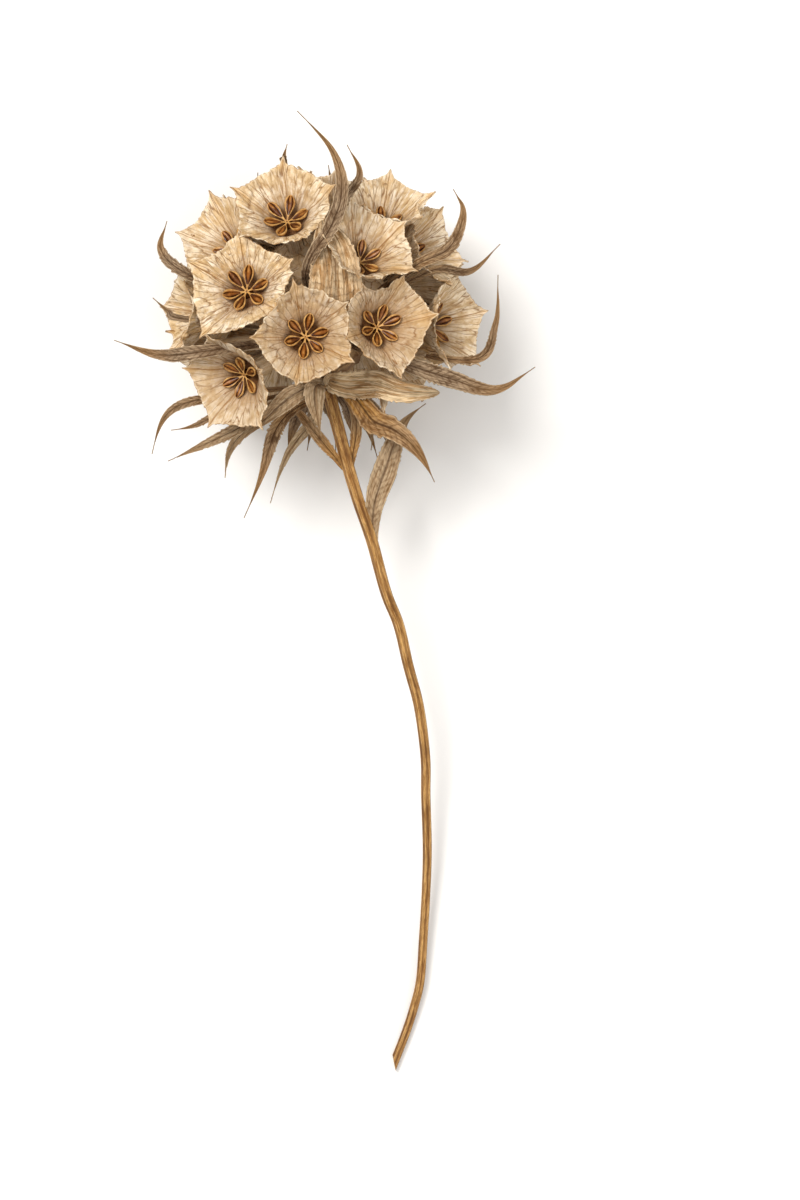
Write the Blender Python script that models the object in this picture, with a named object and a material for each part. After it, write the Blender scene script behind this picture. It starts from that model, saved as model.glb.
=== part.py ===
"""A dried scabious seed head on its cut stem, lying on its side on a level surface.

Sizes are in millimetres, and each mesh is scaled to metres when it is made. +Z is up, away from the
surface. +Y runs from the cut end of the stem to the top of the head. The origin is the middle of the
object's footprint, on the surface.

The head is a receptacle that carries papery five-cornered cups, each with a six-armed brown star on
its floor, and slender bracts that stand between the cups. A whorl of bracts fans out under the head.
The stem carries two narrow leaves close below the head and a longer one further down.
"""

import math
import random

import bpy
import bmesh
from mathutils import Vector

MM = 0.001
SEED = 7
UP = Vector((0, 0, 1))

# The head: its middle in the object's frame, and the direction from the stem to its top
HEAD = Vector((-1.35, 61.4, 28.4))
HEAD_AXIS = Vector((-0.1, 0.985, 0.14)).normalized()
CORE_CENTRE = HEAD - 8.0 * HEAD_AXIS
CORE_RADIUS = 9.0
CROWN_CENTRE = HEAD - 1.0 * HEAD_AXIS  # the receptacle's upper, wider part
CROWN_RADIUS = 13.5
SURFACE_CUT = 30.0  # depth of the block that trims what would lie below the surface

# A cup: a tube that flares into a mouth with five corners
CORNERS = 5
CORNER_SPREAD = math.radians(8)  # corners that have no listed angle stray this much from even spacing
CORNER_STEP = 2 * math.pi / CORNERS
CUP_HEIGHT = 8.0
FLOOR_RADIUS = 2.5
WALL = 0.65
TUBE_RADIUS = 1.5
FLARE = 0.85  # the wall's height grows as its spread to this power
CORNER_LIFT = 0.9  # corners stand above the mouth's plane
EDGE_SAG = 0.7  # edges between corners hang below it
RIM_TOOTH = 0.25
FINE_WALL = ((2, 0.45), (4, 0.75), (8, 1.0))  # points on each edge at shares of the way to the rim
PLAIN_WALL = ((2, 0.5), (4, 1.0))  # the same for cups that face sideways or down
SEEN_SLOPE = 0.55  # how far a fine cup faces up, at least
EDGE_BULGE = 0.07  # edges bow outwards by this share of the corner radius
CORNER_OVERLAP = 1.2  # how far a corner may reach over the next cup
EDGE_GAP = 1.4  # how far an edge stays short of the next cup

# Cups that show from above: the middle of the mouth from the head's middle, the direction that the
# mouth opens in, and its corners, each as an angle in degrees and a radius. One radius instead of
# corners stands for five that are nearly even
SEEN_CUPS = (
    ((-7.2, 16.9, 19.8), (-0.17, 0.46, 0.87), ((19, 10.8), (92, 9.3), (162, 9.8), (228, 10.4), (307, 9.8))),
    ((-14.9, 1.5, 22.6), (-0.14, 0.24, 0.96), ((22, 10.7), (94, 9.2), (160, 10.4), (237, 12.8), (321, 9.4))),
    ((-1.6, -9.0, 27.0), (0.10, 0.04, 0.99), ((39, 9.1), (106, 9.9), (184, 10.6), (256, 9.9), (328, 9.3))),
    ((10.3, 8.8, 23.8), (0.28, 0.48, 0.83), ((31, 8.8), (104, 9.8), (172, 8.8), (246, 8.2), (322, 10.0))),
    ((14.1, -6.1, 22.4), (0.34, 0.16, 0.93), ((7, 9.4), (69, 8.8), (128, 9.4), (203, 9.0), (278, 11.2))),
    (
        (-17.9, -18.4, 16.4),
        (-0.48, -0.28, 0.83),
        ((18, 8.8), (104, 9.6), (158, 8.8), (238, 9.0), (308, 10.6)),
    ),
    ((28.2, -6.2, 7.0), (0.86, 0.02, 0.5), 9.6),
    ((14.4, 19.0, 11.5), (0.24, 0.84, 0.48), 9.2),
    ((-28.2, -4.0, 6.0), (-0.96, 0.05, 0.28), 9.4),
    ((-20.6, 11.6, 11.0), (-0.66, 0.46, 0.6), 10.0),
    ((-25.8, -14.8, -2.5), (-0.88, -0.45, 0.1), 8.6),
    ((18.6, -16.2, 3.0), (0.7, -0.62, -0.1), 9.4),
    ((23.4, 10.4, 8.0), (0.8, 0.36, 0.46), 9.0),
)
REST_CUP = ((0.5, -2.6, -27.7), (0, 0, -1), 10.0)  # the head rests on this one's mouth
HIDDEN_CUPS = 13
HIDDEN_RADIUS = 9.6
HIDDEN_HEIGHT = -0.02  # they stay below this share of the head's half height
HIDDEN_REACH = 27.0
HIDDEN_FLATTEN = 0.16  # their reach is this much shorter towards the head's top
STEM_CLEARING = math.radians(56)  # no cup grows this close to the stem's direction

# The star on a cup's floor
ARMS = 6
ARM_LENGTH = 4.5
ARM_HEIGHT = 3.9
ARM_WAIST = 1.0
STAR_RADIUS_SHARE = 10.0  # a star has its full size in a cup of this corner radius

# Bracts that stand between the cups: where each comes out, where it bends and its tip, all from the
# head's middle, and its width
HEAD_BRACTS = (
    ((-2.1, 3.8, 22.0), (3.0, 12.2, 27.0), (5.0, 19.5, 29.5), (2.9, 27.0, 28.6), (-3.8, 34.6, 26.5), 3.1),
    ((4.5, 15.1, 22.0), (8.4, 22.2, 24.5), (5.9, 28.3, 22.5), 2.0),
    ((-6.2, 23.6, 13.5), (-6.6, 26.3, 14.5), (-6.0, 29.1, 14.0), 1.4),
    ((-24.5, 2.7, 16.0), (-30.8, 8.0, 14.0), (-29.8, 14.0, 12.5), 2.4),
    ((-26.4, -5.4, 13.0), (-29.6, -3.8, 12.0), (-32.7, -1.1, 10.5), 1.5),
    ((-21.5, -11.9, 17.0), (-31.2, -12.5, 13.0), (-40.4, -9.5, 10.5), 3.0),
    ((18.7, 4.4, 18.5), (26.0, 8.4, 16.5), (28.8, 15.4, 15.0), (26.8, 20.2, 14.0), 2.7),
    ((21.8, 3.9, 12.5), (30.2, 4.2, 10.0), (36.2, 9.7, 8.0), 1.9),
    ((30.2, -13.4, 9.0), (35.2, -6.5, 7.0), (35.8, 3.7, 6.0), 1.9),
    ((15.9, -13.9, 17.0), (26.0, -17.2, 14.0), (35.2, -19.4, 11.5), (43.1, -14.8, 10.0), 3.8),
    ((3.4, -4.0, 18.5), (3.4, 5.5, 23.0), (1.0, 13.5, 22.5), 11.0),
)
HIDDEN_BRACTS = 7
HIDDEN_BRACT_REACH = (27.0, 30.0, 33.0)
HIDDEN_BRACT_HEIGHTS = (-0.75, -0.4)  # they grow between these shares of the head's half height
HIDDEN_BRACT_WIDTH = 2.3

# The whorl under the head: a small collar, and bracts that bend back from it. Points as above
COLLAR_CENTRE = HEAD - 18.0 * HEAD_AXIS
COLLAR_RADIUS = 3.6
BRACT_ROOT = 0.75  # share of the collar's radius where the bracts start
COLLAR_THICKNESS = 1.4
WHORL_BRACTS = (
    ((-23.2, -20.5, 6.5), (-31.2, -23.1, 4), (-33.3, -31.8, 0), 2.0),
    ((-21.2, -23.9, 5.5), (-24.0, -26.5, 4), (-29.4, -27.1, 2), 1.5),
    ((-13.6, -26.0, 5), (-22.6, -30.0, 4), (-30.0, -33.3, 3), 2.6),
    ((-14.4, -26.3, -2), (-18.4, -30.9, -3), (-18.8, -36.5, -4), 2.1),
    ((-3.9, -18.9, 9), (-9.5, -24.3, 10), (-14.4, -28.9, 10), 4.2),
    ((-6.4, -23.2, 3), (-10.2, -28.2, 2.5), (-9.9, -34.8, 1.5), (-14.9, -44.6, 0), 3.0),
    ((0.2, -25.3, -7), (-6.6, -29.9, -7), (-9.8, -41.5, -8), 2.4),
    ((-1.0, -17.9, 8), (-0.5, -23.0, 8.5), (0.6, -28.4, 6), 4.4),
    ((5.4, -18.3, 7), (11.0, -22.0, 6.2), (17.0, -27.0, 5), (21.6, -32.2, 4), (23.2, -37.5, 3), 5.0),
    ((8.4, -21.7, -8), (10.9, -26.0, -9), (10.5, -30.8, -10), 2.0),
    ((4.4, -15.6, 10.5), (13.8, -17.6, 9.8), (24.6, -19.3, 8.5), 6.0),
)
UNDER_BRACTS = 9
UNDER_SWING = math.radians(160)  # the arc that the bracts on the lower side take up
SURFACE_CLEARANCE = 1.6  # a bract's middle line bends to stay this far above the surface
BLADE_CLEARANCE = 0.5  # and its edge this far from the cups

# A blade: a narrow leaf with a ridge above and below, and a toothed edge
BLADE_SECTIONS = 12
LEAF_SECTIONS = 18
BLADE_TOOTH = 0.16
LEAF_TOOTH = 0.06
ROOT_WIDTH = 0.35  # share of the full width at the root
SWELL = 1.5  # how fast it widens from there
TAPER_START = 0.4  # share of the length after which it narrows to the tip
HEAD_TAPER = 1.0  # a blade narrows as a cosine to this power
WHORL_TAPER = 1.6
BROAD_TAPER = 0.55
BROAD_WIDTH = 5.5  # a wider bract is papery and ends bluntly
BLADE_THICKNESS = 0.55
BLADE_SWELL = 0.16  # added to the thickness for each millimetre of width

# The stem's middle line from the head to the cut end, and its radius at both ends
STEM_PATH = (
    (0.55, 42.6, 25.7),
    (1.25, 40.0, 25.2),
    (3.05, 33.1, 24.3),
    (4.55, 27.3, 23.3),
    (6.65, 20.3, 22.0),
    (9.35, 12.3, 20.2),
    (12.15, 2.0, 17.6),
    (14.75, -4.7, 15.8),
    (16.65, -12.8, 13.7),
    (18.85, -21.3, 11.6),
    (20.15, -31.5, 9.3),
    (20.25, -39.5, 7.7),
    (20.55, -50.6, 5.6),
    (20.25, -60.4, 4.0),
    (19.75, -68.7, 2.9),
    (19.15, -77.3, 1.9),
    (17.85, -82.9, 1.4),
    (16.15, -88.2, 1.05),
    (13.75, -94.4, 0.9),
)
STEM_TOP_RADIUS = 1.45
STEM_END_RADIUS = 0.95
STEM_SECTIONS = 40
STEM_SIDES = 8
STEM_CUT_SLANT = 1.6  # the cut end runs aslant by this much for each unit across

# Leaves on the stem: root, points along it and tip, from the object's origin, the width and the taper
STEM_LEAVES = (
    (
        (3.65, 26.7, 23.0),
        (1.65, 29.5, 23.6),
        (-1.45, 33.1, 25.0),
        (-4.85, 37.3, 26.6),
        (-6.25, 39.8, 27.6),
        2.4,
        0.6,
    ),
    (
        (4.95, 25.9, 23.0),
        (5.55, 30.3, 24.0),
        (6.35, 34.5, 25.2),
        (5.95, 38.3, 26.6),
        (3.95, 41.4, 28.0),
        2.3,
        0.6,
    ),
    (
        (9.65, 12.3, 20.4),
        (9.35, 16.9, 21.5),
        (9.75, 21.1, 22.8),
        (12.55, 27.5, 24.2),
        (14.35, 34.1, 25.2),
        (15.95, 36.9, 25.6),
        (20.15, 40.3, 25.6),
        5.0,
        1.7,
    ),
)

CREAM = (0.62, 0.47, 0.28)
GREY_BROWN = (0.27, 0.19, 0.12)
GOLDEN_BROWN = (0.36, 0.20, 0.07)


def clear_scene():
    for old in list(bpy.data.objects):
        bpy.data.objects.remove(old)


def material(name, colour, roughness):
    made = bpy.data.materials.new(name)
    made.use_nodes = True
    shader = made.node_tree.nodes["Principled BSDF"]
    shader.inputs["Base Color"].default_value = (*colour, 1)
    shader.inputs["Roughness"].default_value = roughness
    shader.inputs["Metallic"].default_value = 0
    return made


def solid(name, points, faces, finish=None):
    """A mesh object from points in millimetres, with its faces turned outwards."""
    mesh = bpy.data.meshes.new(name)
    mesh.from_pydata([Vector(p) * MM for p in points], [], faces)
    shell = bmesh.new()
    shell.from_mesh(mesh)
    bmesh.ops.recalc_face_normals(shell, faces=shell.faces)
    shell.to_mesh(mesh)
    shell.free()
    if finish:
        mesh.materials.append(finish)
    made = bpy.data.objects.new(name, mesh)
    bpy.context.scene.collection.objects.link(made)
    return made


def ring_faces(lower, upper):
    """Faces between two rings of point numbers, where the upper has as many points or twice as many."""
    faces = []
    n = len(lower)
    for k in range(n):
        after = (k + 1) % n
        if len(upper) == n:
            faces.append((lower[k], lower[after], upper[after], upper[k]))
            continue
        faces.append((lower[k], upper[2 * k + 1], upper[2 * k]))
        faces.append((lower[k], lower[after], upper[2 * k + 1]))
        faces.append((lower[after], upper[(2 * k + 2) % len(upper)], upper[2 * k + 1]))
    return faces


def smooth_path(points, count):
    """This many points along a smooth curve through the given ones."""
    points = [Vector(p) for p in points]
    held = [2 * points[0] - points[1], *points, 2 * points[-1] - points[-2]]
    path = []
    for i in range(count):
        along = i / (count - 1) * (len(points) - 1)
        k = min(int(along), len(points) - 2)
        t = along - k
        a, b, c, d = held[k : k + 4]
        path.append(
            0.5 * (2 * b + (c - a) * t + (2 * a - 5 * b + 4 * c - d) * t**2 + (3 * b - 3 * c + d - a) * t**3)
        )
    return path


def directions(path):
    """The direction of a path at each of its points."""
    last = len(path) - 1
    return [(path[min(i + 1, last)] - path[max(i - 1, 0)]).normalized() for i in range(last + 1)]


def spread_directions(count):
    """Evenly spread unit vectors, along a spiral from pole to pole."""
    turn = math.pi * (3 - math.sqrt(5))
    found = []
    for i in range(count):
        height = 1 - (2 * i + 1) / count
        across = math.sqrt(1 - height * height)
        found.append(Vector((across * math.cos(i * turn), across * math.sin(i * turn), height)))
    return found


class Cup:
    """One papery cup: where its floor is, which way it opens and the outline of its mouth."""

    def __init__(self, mouth, opens, corners, draw):
        self.axis = Vector(opens).normalized()
        self.mouth = HEAD + Vector(mouth)
        self.base = self.mouth - CUP_HEIGHT * self.axis
        self.across = Vector((0, 1, 0)).cross(self.axis).normalized()
        self.along = self.axis.cross(self.across)
        if isinstance(corners, float):
            start = draw.uniform(0, CORNER_STEP)
            strays = [draw.uniform(-CORNER_SPREAD, CORNER_SPREAD) for _ in range(CORNERS)]
            turns = [start + k * CORNER_STEP + stray for k, stray in enumerate(strays)]
            corners = [(math.degrees(turn), corners) for turn in turns]
        self.radius = sum(radius for _, radius in corners) / CORNERS
        self.reach = max(radius for _, radius in corners)
        self.corners = [self.flat_point(math.radians(angle), radius) for angle, radius in corners]

    @staticmethod
    def flat_point(angle, radius):
        return Vector((radius * math.cos(angle), radius * math.sin(angle)))

    def rim(self, turn):
        """The mouth's outline at a turn from 0 to 5, one for each corner, as a flat point."""
        k = int(turn) % CORNERS
        t = turn - int(turn)
        edge = self.corners[k].lerp(self.corners[(k + 1) % CORNERS], t)
        return edge + edge.normalized() * EDGE_BULGE * self.radius * math.sin(math.pi * t) ** 2

    def place(self, flat, height):
        return self.base + self.across * flat.x + self.along * flat.y + self.axis * height

    def wall_point(self, turn, share, others, offset=0.0, tooth=0.0):
        """A point of the wall, from the floor at share 0 to the rim at share 1."""
        cornered = abs(2 * (turn - int(turn)) - 1) ** 2
        lift = (CORNER_LIFT * cornered - EDGE_SAG * (1 - cornered)) * share**2
        rim = self.rim(turn)
        rim *= self.room(rim, CUP_HEIGHT + lift, cornered, others)
        out = FLOOR_RADIUS + (rim.length - FLOOR_RADIUS) * share
        height = CUP_HEIGHT * share**FLARE + lift - 0.4 * offset + tooth
        return self.place(rim.normalized() * (out + offset + tooth), height)

    def wall_ring(self, per_edge, share, others, offset=0.0):
        """A ring of wall points. On the rim every other one stands out as a small tooth."""
        tooth = RIM_TOOTH if share == 1 else 0
        steps = range(per_edge * CORNERS)
        return [self.wall_point(k / per_edge, share, others, offset, tooth * (k % 2)) for k in steps]

    def room(self, rim, height, cornered, others):
        """The share of a rim point's radius that keeps it off the neighbouring cups."""
        allowed = CORNER_OVERLAP * cornered - EDGE_GAP * (1 - cornered)
        share = 1.0
        while share > 0.62:
            point = self.place(rim * share, height)
            if all(self.off_axis(point) - cup.off_axis(point) <= allowed for cup in others):
                break
            share -= 0.02
        return share

    def off_axis(self, point):
        return (point - self.base).cross(self.axis).length

    def outer_radius(self, height):
        """How wide the wall is at a height above the floor, and the tube below it."""
        if height < -1:
            return TUBE_RADIUS
        share = min(1.0, max(0.0, height / CUP_HEIGHT) ** (1 / FLARE))
        return FLOOR_RADIUS + (self.reach - FLOOR_RADIUS) * share + WALL


def neighbours(cup, cups):
    near = 2.6 * HIDDEN_RADIUS
    return [other for other in cups if other is not cup and (other.mouth - cup.mouth).length < near]


def flatten(place):
    """The direction from the head's middle, with less reach towards the head's top."""
    return place - HIDDEN_FLATTEN * max(0, place.dot(HEAD_AXIS)) * HEAD_AXIS


def hidden_mouths():
    """Mouths that fill the rest of the head: each takes the emptiest place, then all push apart."""
    fixed = [Vector(mouth).normalized() for mouth, *_ in (*SEEN_CUPS, REST_CUP)]
    free = []

    def is_open(d):
        return d.angle(-HEAD_AXIS) > STEM_CLEARING and d.z < HIDDEN_HEIGHT

    open_places = [d for d in spread_directions(500) if is_open(d)]
    for _ in range(HIDDEN_CUPS):
        free.append(max(open_places, key=lambda d: min(d.angle(taken) for taken in fixed + free)))
    for _ in range(40):
        for i, place in enumerate(free):
            push = Vector()
            for other in fixed + free[:i] + free[i + 1 :]:
                away = place - other
                push += away / away.length**4
            place = (place + 0.01 * push).normalized()
            if is_open(place):
                free[i] = place
    return [HIDDEN_REACH * flatten(place) for place in free]


def grow_cups():
    draw = random.Random(SEED)
    cups = [Cup(*row, draw) for row in (*SEEN_CUPS, REST_CUP)]
    for mouth in hidden_mouths():
        cups.append(Cup(mouth, mouth + 2.0 * HEAD_AXIS, HIDDEN_RADIUS, draw))
    return cups


def tube_ring(cup, centre, radius):
    return [
        centre + cup.across * flat.x + cup.along * flat.y
        for flat in (cup.rim(float(k)).normalized() * radius for k in range(CORNERS))
    ]


def cup_solid(cup, cups):
    """The cup's wall and its tube, whose root is sunk in the receptacle."""
    others = neighbours(cup, cups)
    inward = (cup.base - CORE_CENTRE).normalized()
    steps = FINE_WALL if cup.axis.z > SEEN_SLOPE else PLAIN_WALL
    rings = [
        tube_ring(cup, CORE_CENTRE + 0.7 * CORE_RADIUS * inward, TUBE_RADIUS),
        tube_ring(cup, cup.base - 3.6 * cup.axis, TUBE_RADIUS),
        tube_ring(cup, cup.base - WALL * cup.axis, FLOOR_RADIUS + 0.7 * WALL),
        *(cup.wall_ring(per_edge, share, others, WALL) for per_edge, share in steps),
        *(cup.wall_ring(per_edge, share, others) for per_edge, share in reversed(steps)),
        tube_ring(cup, cup.base, FLOOR_RADIUS),
    ]
    points = []
    numbers = []
    for ring in rings:
        numbers.append(range(len(points), len(points) + len(ring)))
        points += ring
    faces = [tuple(numbers[0]), tuple(numbers[-1])]
    for lower, upper in zip(numbers, numbers[1:]):
        faces += ring_faces(lower, upper) if len(lower) <= len(upper) else ring_faces(upper, lower)
    return solid("cup", points, faces)


def star_solid(cup):
    """Six ridged arms round a hub whose foot is sunk in the floor."""
    size = cup.radius / STAR_RADIUS_SHARE
    half = math.pi / ARMS
    points = [Vector((0, 0, 1.9)), Vector((0, 0, -0.5))]
    faces = []
    for k in range(ARMS):
        angle = 2 * k * half + 0.3
        out = Vector((math.cos(angle), math.sin(angle), 0))
        side = Vector((-out.y, out.x, 0))
        waist = 0.62 * ARM_LENGTH * out + 0.55 * ARM_HEIGHT * UP
        points += [
            Vector((math.cos(angle - half), math.sin(angle - half), 0.8)),
            waist - ARM_WAIST * side,
            ARM_LENGTH * out + ARM_HEIGHT * UP,
            waist + ARM_WAIST * side,
            waist + 0.45 * UP,
        ]
        valley, left, tip, right, ridge = range(5 * k + 2, 5 * k + 7)
        after = 2 + 5 * ((k + 1) % ARMS)
        outline = (0, valley, left, tip, right, after, 0)
        faces += [(ridge, a, b) for a, b in zip(outline, outline[1:])]
        faces += [(valley, left, right, after), (left, tip, right), (1, valley, after)]
    return solid("star", [cup.place(p.xy * size, p.z * size) for p in points], faces)


def blade(name, path, width, facing, taper_power, bite=BLADE_TOOTH):
    """A narrow toothed leaf along a path. facing is the side that its upper face turns to."""
    points = []
    faces = []
    last = len(path) - 1
    for i, (centre, ahead) in enumerate(zip(path, directions(path))):
        t = i / last
        tooth = 1 + (bite if i % 2 else -bite)
        taper = math.cos(math.pi / 2 * max(0, (t - TAPER_START) / (1 - TAPER_START)))
        across = width * min(1, ROOT_WIDTH + SWELL * t) * taper**taper_power * tooth
        side = ahead.cross(facing).normalized()
        normal = side.cross(ahead)
        thickness = (BLADE_THICKNESS + BLADE_SWELL * width) * (1 - t) ** 0.4
        if i == last:
            points.append(centre)
            break
        points += [
            centre + side * across / 2 + normal * 0.12 * across,
            centre + normal * thickness / 2,
            centre - side * across / 2 + normal * 0.12 * across,
            centre - normal * thickness / 2,
        ]
    faces.append((0, 1, 2, 3))
    for i in range(last - 1):
        low = range(4 * i, 4 * i + 4)
        faces += ring_faces(low, range(4 * i + 4, 4 * i + 8))
    end = 4 * (last - 1)
    faces += [(end + k, end + (k + 1) % 4, 4 * last) for k in range(4)]
    return solid(name, points, faces)


def above_surface(point):
    """The point, lifted if need be to keep a blade off the surface."""
    return Vector((point.x, point.y, max(point.z, SURFACE_CLEARANCE)))


def clear_path(path, width, cups, stem=()):
    """The path, bent where it would run through a cup, its tube or the stem's line of points."""
    half = 0.5 * width + BLADE_CLEARANCE
    moved = list(path)
    for _ in range(8):
        for i in range(1, len(moved)):
            for cup in cups:
                from_base = moved[i] - cup.base
                height = from_base.dot(cup.axis)
                away = from_base - height * cup.axis
                short = cup.outer_radius(height) + half - away.length
                if height < CUP_HEIGHT + half and short > 0:
                    moved[i] = moved[i] + min(short, 1.0) * away.normalized()
            for centre in stem:
                away = moved[i] - centre
                if away.length < STEM_TOP_RADIUS + half:
                    moved[i] = centre + (STEM_TOP_RADIUS + half) * away.normalized()
            moved[i] = above_surface(moved[i])
        for i in range(2, len(moved) - 1):
            moved[i] = 0.6 * moved[i] + 0.2 * (moved[i - 1] + moved[i + 1])
    return moved


def bract(path, width, taper_power):
    power = BROAD_TAPER if width > BROAD_WIDTH else taper_power
    return blade("bract", path, width, sideways_of(path, UP), power)


def sideways_of(path, towards):
    """The facing of a blade that shows its breadth to someone looking along towards."""
    ahead = (path[-1] - path[0]).normalized()
    return towards if abs(ahead.dot(towards)) < 0.85 else HEAD_AXIS


def head_bracts():
    """Paths and widths of the bracts between the cups, the listed ones and those on the lower side."""
    grown = []
    for *marks, width in HEAD_BRACTS:
        marks = [HEAD + Vector(p) for p in marks]
        root = CORE_CENTRE + 0.75 * CORE_RADIUS * (marks[0] - CORE_CENTRE).normalized()
        grown.append(([root, *marks], width))
    return grown


def hidden_bracts(cups):
    """Bracts in the widest gaps between the cups on the lower side, bent towards the head's top."""
    taken = [(cup.mouth - HEAD).normalized() for cup in cups]
    chosen = []
    low, high = HIDDEN_BRACT_HEIGHTS
    places = [d for d in spread_directions(600) if low < d.z < high and d.angle(-HEAD_AXIS) > STEM_CLEARING]

    def room(d):
        return min(d.angle(c) for c in taken) + 0.5 * min([d.angle(c) for c in chosen] or [1])

    for _ in range(HIDDEN_BRACTS):
        chosen.append(max(places, key=room))
    grown = []
    for place in chosen:
        near, bend, far = HIDDEN_BRACT_REACH
        root = CORE_CENTRE + 0.75 * CORE_RADIUS * (HEAD + near * flatten(place) - CORE_CENTRE).normalized()
        lean = (place + 0.15 * HEAD_AXIS).normalized()
        tip = (place + 0.1 * UP + 0.4 * HEAD_AXIS).normalized()
        marks = [root, HEAD + near * flatten(place), HEAD + bend * flatten(lean), HEAD + far * flatten(tip)]
        grown.append(([above_surface(p) for p in marks], HIDDEN_BRACT_WIDTH))
    return grown


def whorl_paths():
    """Paths and widths of the bracts under the head, the listed ones and those on the lower side."""
    grown = []
    for *marks, width in WHORL_BRACTS:
        marks = [HEAD + Vector(p) for p in marks]
        out = marks[0] - COLLAR_CENTRE
        out = (out - out.dot(HEAD_AXIS) * HEAD_AXIS).normalized()
        grown.append(([COLLAR_CENTRE + BRACT_ROOT * COLLAR_RADIUS * out, *marks], width))
    draw = random.Random(SEED + 1)
    for k in range(UNDER_BRACTS):
        turn = -math.pi / 2 + UNDER_SWING * ((k + 0.5) / UNDER_BRACTS - 0.5)
        out = Vector((math.cos(turn), 0, math.sin(turn)))
        length = draw.uniform(0.65, 0.85)
        marks = [
            COLLAR_CENTRE + BRACT_ROOT * COLLAR_RADIUS * out,
            COLLAR_CENTRE + length * (10.0 * out - 4.0 * HEAD_AXIS),
            COLLAR_CENTRE + length * (17.0 * out - 10.0 * HEAD_AXIS),
            COLLAR_CENTRE + length * (20.0 * out - (17.0 + 4 * draw.random()) * HEAD_AXIS),
        ]
        grown.append(([above_surface(p) for p in marks], draw.uniform(2.2, 3.2)))
    return grown


def round_body(name, centre, radius, finish):
    mesh = bpy.data.meshes.new(name)
    ball = bmesh.new()
    bmesh.ops.create_icosphere(ball, subdivisions=2, radius=radius * MM)
    bmesh.ops.translate(ball, verts=ball.verts, vec=centre * MM)
    ball.to_mesh(mesh)
    ball.free()
    mesh.materials.append(finish)
    made = bpy.data.objects.new(name, mesh)
    bpy.context.scene.collection.objects.link(made)
    return made


def fuse(body, repeats):
    """Joins the repeats to the body by one Boolean union, then removes them."""
    group = bpy.data.collections.new(body.name + "_repeats")
    bpy.context.scene.collection.children.link(group)
    for piece in repeats:
        bpy.context.scene.collection.objects.unlink(piece)
        group.objects.link(piece)
    union = body.modifiers.new("union", "BOOLEAN")
    union.operation = "UNION"
    union.solver = "MANIFOLD"
    union.operand_type = "COLLECTION"
    union.collection = group
    apply_modifiers(body)
    for piece in list(group.objects):
        bpy.data.objects.remove(piece)
    bpy.data.collections.remove(group)


def trim_below_surface(body):
    """Cuts away what would lie below the surface, which leaves small flat spots to rest on."""
    reach = 200.0
    square = ((-reach, -reach), (reach, -reach), (reach, reach), (-reach, reach))
    corners = [(x, y, z) for z in (-SURFACE_CUT, 0.0) for x, y in square]
    sides = [(k, (k + 1) % 4, 4 + (k + 1) % 4, 4 + k) for k in range(4)]
    block = solid("surface_block", corners, [(0, 1, 2, 3), (4, 5, 6, 7), *sides])
    block.hide_render = True
    block.display_type = "WIRE"
    cut = body.modifiers.new("surface", "BOOLEAN")
    cut.operation = "DIFFERENCE"
    cut.solver = "MANIFOLD"
    cut.object = block
    apply_modifiers(body)
    bpy.data.objects.remove(block)


def apply_modifiers(body):
    graph = bpy.context.evaluated_depsgraph_get()
    finished = bpy.data.meshes.new_from_object(body.evaluated_get(graph))
    body.modifiers.clear()
    body.data = finished


def keep_largest_shell(body):
    """Drops loose scraps and fills sealed hollows: both are shells apart from the largest."""
    mesh = bmesh.new()
    mesh.from_mesh(body.data)
    unseen = set(mesh.verts)
    shells = []
    while unseen:
        shell = []
        waiting = [unseen.pop()]
        while waiting:
            vertex = waiting.pop()
            shell.append(vertex)
            fresh = {edge.other_vert(vertex) for edge in vertex.link_edges} & unseen
            unseen -= fresh
            waiting += fresh
        shells.append(shell)
    shells.sort(key=len)
    for shell in shells[:-1]:
        bmesh.ops.delete(mesh, geom=shell, context="VERTS")
    mesh.to_mesh(body.data)
    mesh.free()


def make_seed_head(cups, finish):
    core = round_body("seed_head", CORE_CENTRE, CORE_RADIUS, finish)
    repeats = [round_body("crown", CROWN_CENTRE, CROWN_RADIUS, finish)]
    for cup in cups:
        repeats.append(cup_solid(cup, cups))
        repeats.append(star_solid(cup))
    for marks, width in head_bracts() + hidden_bracts(cups):
        repeats.append(bract(smooth_path(marks, BLADE_SECTIONS), width, HEAD_TAPER))
    fuse(core, repeats)
    trim_below_surface(core)
    keep_largest_shell(core)


def make_bract_whorl(cups, finish):
    across = HEAD_AXIS.orthogonal().normalized()
    along = HEAD_AXIS.cross(across)
    sides = 10
    points = []
    for step, radius in ((-0.5, 0.85), (0.5, 1.0)):
        for k in range(sides):
            angle = 2 * math.pi * k / sides
            edge = across * math.cos(angle) + along * math.sin(angle)
            points.append(COLLAR_CENTRE + step * COLLAR_THICKNESS * HEAD_AXIS + radius * COLLAR_RADIUS * edge)
    low, high = range(sides), range(sides, 2 * sides)
    collar = solid("bract_whorl", points, [tuple(low), tuple(high), *ring_faces(low, high)], finish)
    stem = smooth_path(STEM_PATH, STEM_SECTIONS)
    repeats = []
    for marks, width in whorl_paths():
        path = clear_path(smooth_path(marks, BLADE_SECTIONS), width, cups, stem)
        repeats.append(bract(path, width, WHORL_TAPER))
    fuse(collar, repeats)
    keep_largest_shell(collar)


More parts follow.
